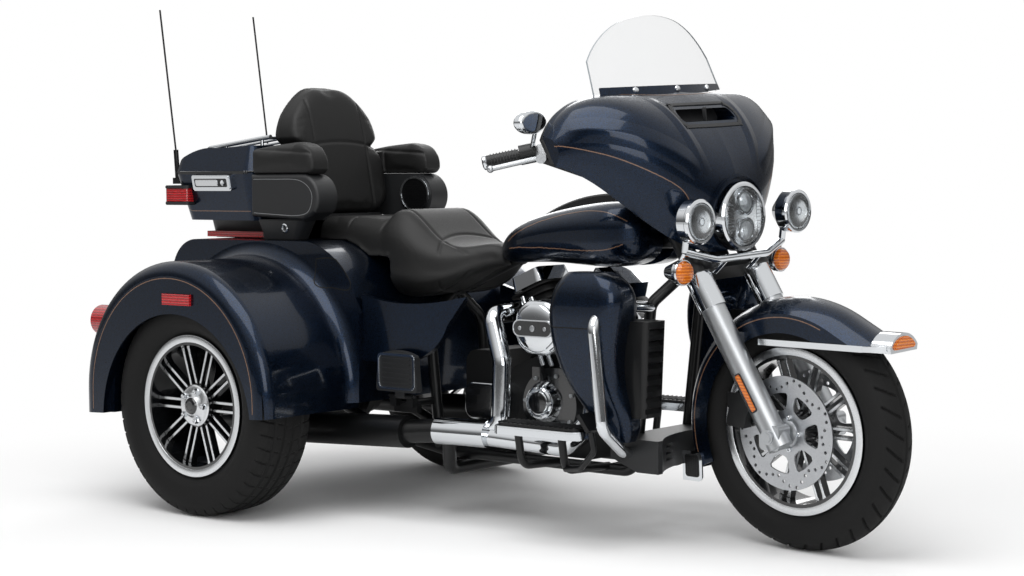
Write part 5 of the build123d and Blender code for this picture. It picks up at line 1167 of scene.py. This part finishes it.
class TRIKE_OT_boards(bpy.types.Operator):
    """Ribbed mats and bright rims on the footboards, and ribs on the grips"""
    bl_idname = "trike.boards"
    bl_label = "Footboards and grips"

    def execute(self, context):
        self.rider_mats()
        for side, name in SIDES:
            self.passenger_mat(side, name)
        self.grips()
        return {"FINISHED"}

    def rider_mats(self):
        """Ribbed mats in bright rims, and the bright edge of the boards."""
        parts = []
        for side in (-1, 1):
            at = facing((388, side * RIDER_BOARD_Y, 309.5), (0, 0, 1), (0, 1, 0))
            rim = mesh_of(moved(punched([rounded(296, 102, 34), rounded(284, 90, 29)], 5), at), bevel=1.0)
            rib = mesh_of(moved(plate(rounded(5, 74, 2.2, 3), 4), at.to_3x3().to_4x4()), bevel=0.8)
            ribs = repeat(rib, 17, "moulded_black_abs", (260, side * RIDER_BOARD_Y, 321.5), step=(16, 0, 0))
            parts += [(rim, "chrome_plate"), (ribs, "moulded_black_abs")]
        place("rider_board_mats", "chassis", parts)
        two_toned("rider_boards_bright_edge", "rider_boards", "chassis",
                  ("black_powder_coat", "chrome_plate"),
                  lambda at, out: at.x < 537 and 292 < at.z < 310.5 and abs(out.z) < 0.3 and abs(at.y) > 299)

    def passenger_mat(self, side, name):
        """Ribs in a bright frame on one folded passenger board."""
        y = side * PASSENGER_BOARD_Y
        at = facing((PASSENGER_BOARD_X, y, 430), (0, side, 0))
        edge = mesh_of(moved(punched([rounded(144, 104, 16), rounded(130, 90, 12)], 3), at), bevel=0.8)
        rib = mesh_of(moved(plate(rounded(110, 5, 2.2, 3), 3.5), at.to_3x3().to_4x4()), bevel=0.8)
        ribs = repeat(rib, 6, "moulded_black_abs", (PASSENGER_BOARD_X, y, 396), step=(0, 0, 14))
        place(f"passenger_board_{name}_mat", f"passenger_board_{name}",
              [(edge, "chrome_plate"), (ribs, "moulded_black_abs")])

    def grips(self):
        """Rings along both grips, and their bright ends."""
        parts = []
        for side in (-1, 1):
            start, end = Vector((378, side * 372, 1064)), Vector((300, side * 448, 1046))
            run = (end - start).normalized()
            ring = turned([(17.5, 0), (20, 0.8), (20, 3.2), (17.5, 4)], 28, True)
            ring = mesh_of(moved(ring, facing((0, 0, 0), run)))
            rings = repeat(ring, 9, "moulded_black_abs", start + run * 32, step=run * 8.4)
            tip = turned([(0, 0), (19, 0), (20.5, 3), (19, 9), (12, 12), (0, 13)], 32)
            tip = mesh_of(moved(tip, facing(end + run * 4, run)))
            parts += [(rings, "moulded_black_abs"), (tip, "chrome_plate")]
        place("grip_ribs", "steering", parts, steered=True)


class TRIKE_OT_cockpit(bpy.types.Operator):
    """Gauges, screen glass, the screen's base trim and the fairing's nose"""
    bl_idname = "trike.cockpit"
    bl_label = "Cockpit"

    def execute(self, context):
        look = (-math.cos(math.radians(10)), 0, math.sin(math.radians(10)))
        bezels, dials, needles, ticks = [], [], [], []
        for y in (-164, -106, 106, 164):
            at = facing((466.2, y, 1115), look)
            bezels.append(moved(turned([(21, -1), (26, -1), (26.5, 2), (24, 4.5), (21.5, 3)], 40, True), at))
            dials.append(moved(turned([(0, -0.5), (22, -0.5), (22, 1), (0, 1)], 40), at))
            needles.append(moved(plate([(-1.2, -4), (1.2, -4), (0.5, 16), (-0.5, 16)], 0.8),
                                 at @ Matrix.Translation((0, 0, 1.2)) @ Matrix.Rotation(0.7, 4, "Z")))
            tick = plate([(-0.7, 15), (0.7, 15), (0.7, 20), (-0.7, 20)], 0.6)
            tick = mesh_of(moved(tick, at.to_3x3().to_4x4()))
            marks = repeat(tick, 11, "pale_dial_paint", at @ Vector((0, 0, 0.9)), look, math.radians(27))
            ticks.append((marks, "pale_dial_paint"))
        glass = mesh_of(moved(plate(rounded(146, 80, 6), 3), facing((482, 0, 1101), look)), bevel=0.8)
        place("cockpit_gauges", "steering", [
            (mesh_of(*bezels), "chrome_plate"), (mesh_of(*dials), "black_gloss_enamel"),
            (mesh_of(*needles), "amber_lens"), *ticks, (glass, "black_gloss_enamel")], steered=True)
        self.screen()
        self.nose()
        return {"FINISHED"}

    def screen(self):
        """Clear sheet with its polished edge, and the painted strip with three screws that holds it."""
        ahead = Vector((math.cos(SCREEN_LEAN), 0.0, math.sin(SCREEN_LEAN)))
        straight = PARK.inverted()

        def cut_edge(at, normal):
            swing = math.asin((straight @ at).y / SCREEN_R)
            radial = ahead * math.cos(swing) + Vector((0.0, math.sin(swing), 0.0))
            return abs((straight.to_3x3() @ normal).dot(radial)) < 0.7

        def on_sheet(y, z):
            return math.sqrt(SCREEN_R ** 2 - y * y) - (z - SCREEN_FOOT_Z) * math.tan(SCREEN_LEAN), y, z

        two_toned("screen_with_polished_edge", "windscreen", "steering",
                  ("clear_acrylic", "acrylic_cut_edge"), cut_edge)
        sheet = skin("windscreen")
        strip = laid(sheet, [on_sheet(y, 1222) for y in range(-252, 253, 36)], 28, 4.0, steered=True)
        screw = turned([(0, 3), (9, 3), (9, 6), (7, 9), (3, 10.5), (0, 10.5)], 24)
        screws = []
        for y in (-150, 0, 150):
            at, normal = sheet.find_nearest(PARK @ Vector(on_sheet(y, 1224)) * MM)[:2]
            screws.append(moved(screw, facing(at / MM, normal)))
        place("screen_base_trim", "steering",
              [(mesh_of(strip, bevel=1.0), "navy_metallic_paint"), (mesh_of(*screws), "chrome_plate")])

    def nose(self):
        """Creases of the fairing, the brow over the headlamp and the frame of the air scoop."""
        shell = skin("fairing")
        ridges = []
        for side in (-1, 1):
            wing = ((536, 396, 1122), (600, 350, 1122), (668, 286, 1104), (724, 202, 1060), (766, 122, 1000))
            ridges.append(crease(shell, [(x, side * y, z) for x, y, z in wing], 46, 7.0, steered=True))
            rise = ((770, 104, 992), (748, 118, 1050), (704, 130, 1110), (650, 140, 1164), (606, 150, 1200))
            ridges.append(crease(shell, [(x, side * y, z) for x, y, z in rise], 30, 4.0, steered=True))
        turns = [math.radians(a) for a in range(10, 171, 10)]
        arch = [(780, 106 * math.cos(a), LAMP_Z + 106 * math.sin(a)) for a in turns]
        brow = laid(shell, arch, 9, 13.0, steered=True, sunk=4.0)
        ahead = PARK.to_3x3() @ Vector((-1, 0, 0))
        mouth = [struck(shell, PARK @ Vector((900, x, 1148 + y)), ahead)[0] for x, y in rounded(246, 58, 24)]
        lip = laid(shell, mouth + mouth[:1], 12, 2.5)
        bar_at = PARK @ Vector((676, 0, 1148))
        divider = moved(plate(rounded(5, 40, 2, 2), 10), facing(bar_at, PARK.to_3x3() @ Vector((1, 0, 0.1))))
        place("fairing_nose_lines", "steering",
              [(mesh_of(*ridges), "navy_metallic_paint"), (mesh_of(brow, bevel=2.0), "navy_metallic_paint"),
               (mesh_of(lip, bevel=1.0), "moulded_black_abs"),
               (mesh_of(divider, bevel=0.5), "moulded_black_abs")])


class TRIKE_OT_top_case(bpy.types.Operator):
    """Latch, speaker grilles and seal of the top case"""
    bl_idname = "trike.top_case"
    bl_label = "Top case dress"

    def execute(self, context):
        low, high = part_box("trunk_latch")
        mid = (low + high) / 2 / MM
        at = facing(*struck(skin("trunk_latch"), (mid.x, -BESIDE, mid.z), (0, 1, 0)))
        rim = mesh_of(moved(punched([rounded(170, 44, 7), rounded(150, 27, 5)], 3), at), bevel=0.8)
        well = mesh_of(moved(plate(rounded(152, 29, 5), 1.0), at), bevel=0.3)
        paddle = plate(rounded(104, 20, 6), 5)
        paddle = mesh_of(moved(paddle, at @ Matrix.Translation((-18, 0, 0))), bevel=1.6)
        barrel = turned([(0, 0), (9, 0), (9, 5), (7, 6.5), (3, 6), (0, 5.5)], 28)
        barrel = mesh_of(moved(barrel, at @ Matrix.Translation((56, 0, 0))))
        place("trunk_latch_paddle", "chassis", [
            (rim, "chrome_plate"), (well, "moulded_black_abs"), (paddle, "machined_aluminium"),
            (barrel, "chrome_plate")])
        self.speakers()
        seal = [(-830, -300, 1002), (-1000, -300, 1002), (-1150, -300, 1002), (-1190, -286, 1002),
                (-1208, -240, 1002), (-1208, 0, 1002), (-1208, 240, 1002)]
        place("top_case_seal", "chassis",
              [(mesh_of(laid(skin("trunk_base"), seal, 9, 0.9)), "moulded_black_abs")])
        return {"FINISHED"}

    def speakers(self):
        """Perforated grilles inside the pods, a bright line round their outer faces, and their feet."""
        parts, lines, feet, sockets = [], [], [], []
        pods = skin("speaker_pods")
        holes = [oval(55.5, 51.5, 56)]
        for i in range(-8, 9):
            for j in range(-8, 9):
                x, y = 6.4 * (i + 0.5 * (j % 2)), 5.6 * j
                if (x / 52) ** 2 + (y / 48) ** 2 < 1:
                    holes.append(oval(1.9, 1.9, 6, (x, y)))
        for side in (-1, 1):
            at = facing(*struck(pods, (-585, 0, 928), (0, side, 0)))
            rim = mesh_of(moved(punched([oval(62, 58, 56), oval(55, 51, 56)], 6), at), bevel=1.5)
            grille = mesh_of(moved(punched(holes, 1.6), at @ Matrix.Translation((0, 0, 1.5))))
            parts += [(rim, "chrome_plate"), (grille, "black_powder_coat")]
            edge = at_side(side * 330, (-790, 878), (-700, 872), (-590, 872), (-548, 890), (-540, 940),
                           (-590, 976), (-700, 980), (-790, 980))
            lines.append(laid(pods, edge, 1.6, 0.5))
            feet.append(prism([(x - 700, side * 246 + y, 795.5) for x, y in rounded(150, 56, 20)],
                              [(x - 690, side * 252 + y, 858.0) for x, y in rounded(206, 74, 24)]))
            sockets.append(moved(turned([(7, -1), (13, -1), (14, 2), (11, 4), (8, 3), (7, 1)], 28, True),
                                 facing((-668, side * 283, 832), (0, side, -0.13))))
        parts += [(mesh_of(*feet, bevel=3.0), "moulded_black_abs"), (mesh_of(*sockets), "chrome_plate"),
                  (mesh_of(*lines), "satin_cast_aluminium")]
        place("speaker_grilles", "chassis", parts)


class TRIKE_PT_panel(bpy.types.Panel):
    """The trike's pieces in the sidebar"""
    bl_idname = "TRIKE_PT_panel"
    bl_label = "Touring trike"
    bl_space_type = "VIEW_3D"
    bl_region_type = "UI"
    bl_category = "Trike"

    def draw(self, context):
        for group in (context.scene.trike_colours, context.scene.trike_sizes, context.scene.trike_studio):
            for key in group.__annotations__:
                self.layout.prop(group, key)
        for operator in OPERATORS:
            self.layout.operator(operator.bl_idname)


OPERATORS = (TRIKE_OT_finishes, TRIKE_OT_stage, TRIKE_OT_tyres, TRIKE_OT_wheels, TRIKE_OT_upholstery,
             TRIKE_OT_lamps, TRIKE_OT_pinstripes, TRIKE_OT_engine, TRIKE_OT_boards, TRIKE_OT_cockpit,
             TRIKE_OT_top_case)
CLASSES = (TrikeColours, TrikeSizes, TrikeStudio, *OPERATORS, TRIKE_PT_panel)


def register():
    for kind in CLASSES:
        bpy.utils.register_class(kind)
    bpy.types.Scene.trike_colours = bpy.props.PointerProperty(type=TrikeColours)
    bpy.types.Scene.trike_sizes = bpy.props.PointerProperty(type=TrikeSizes)
    bpy.types.Scene.trike_studio = bpy.props.PointerProperty(type=TrikeStudio)


def unregister():
    del bpy.types.Scene.trike_studio
    del bpy.types.Scene.trike_sizes
    del bpy.types.Scene.trike_colours
    for kind in reversed(CLASSES):
        bpy.utils.unregister_class(kind)


def main():
    register()
    for operator in OPERATORS:
        family, name = operator.bl_idname.split(".")
        getattr(getattr(bpy.ops, family), name)()


if __name__ == "__main__":
    main()
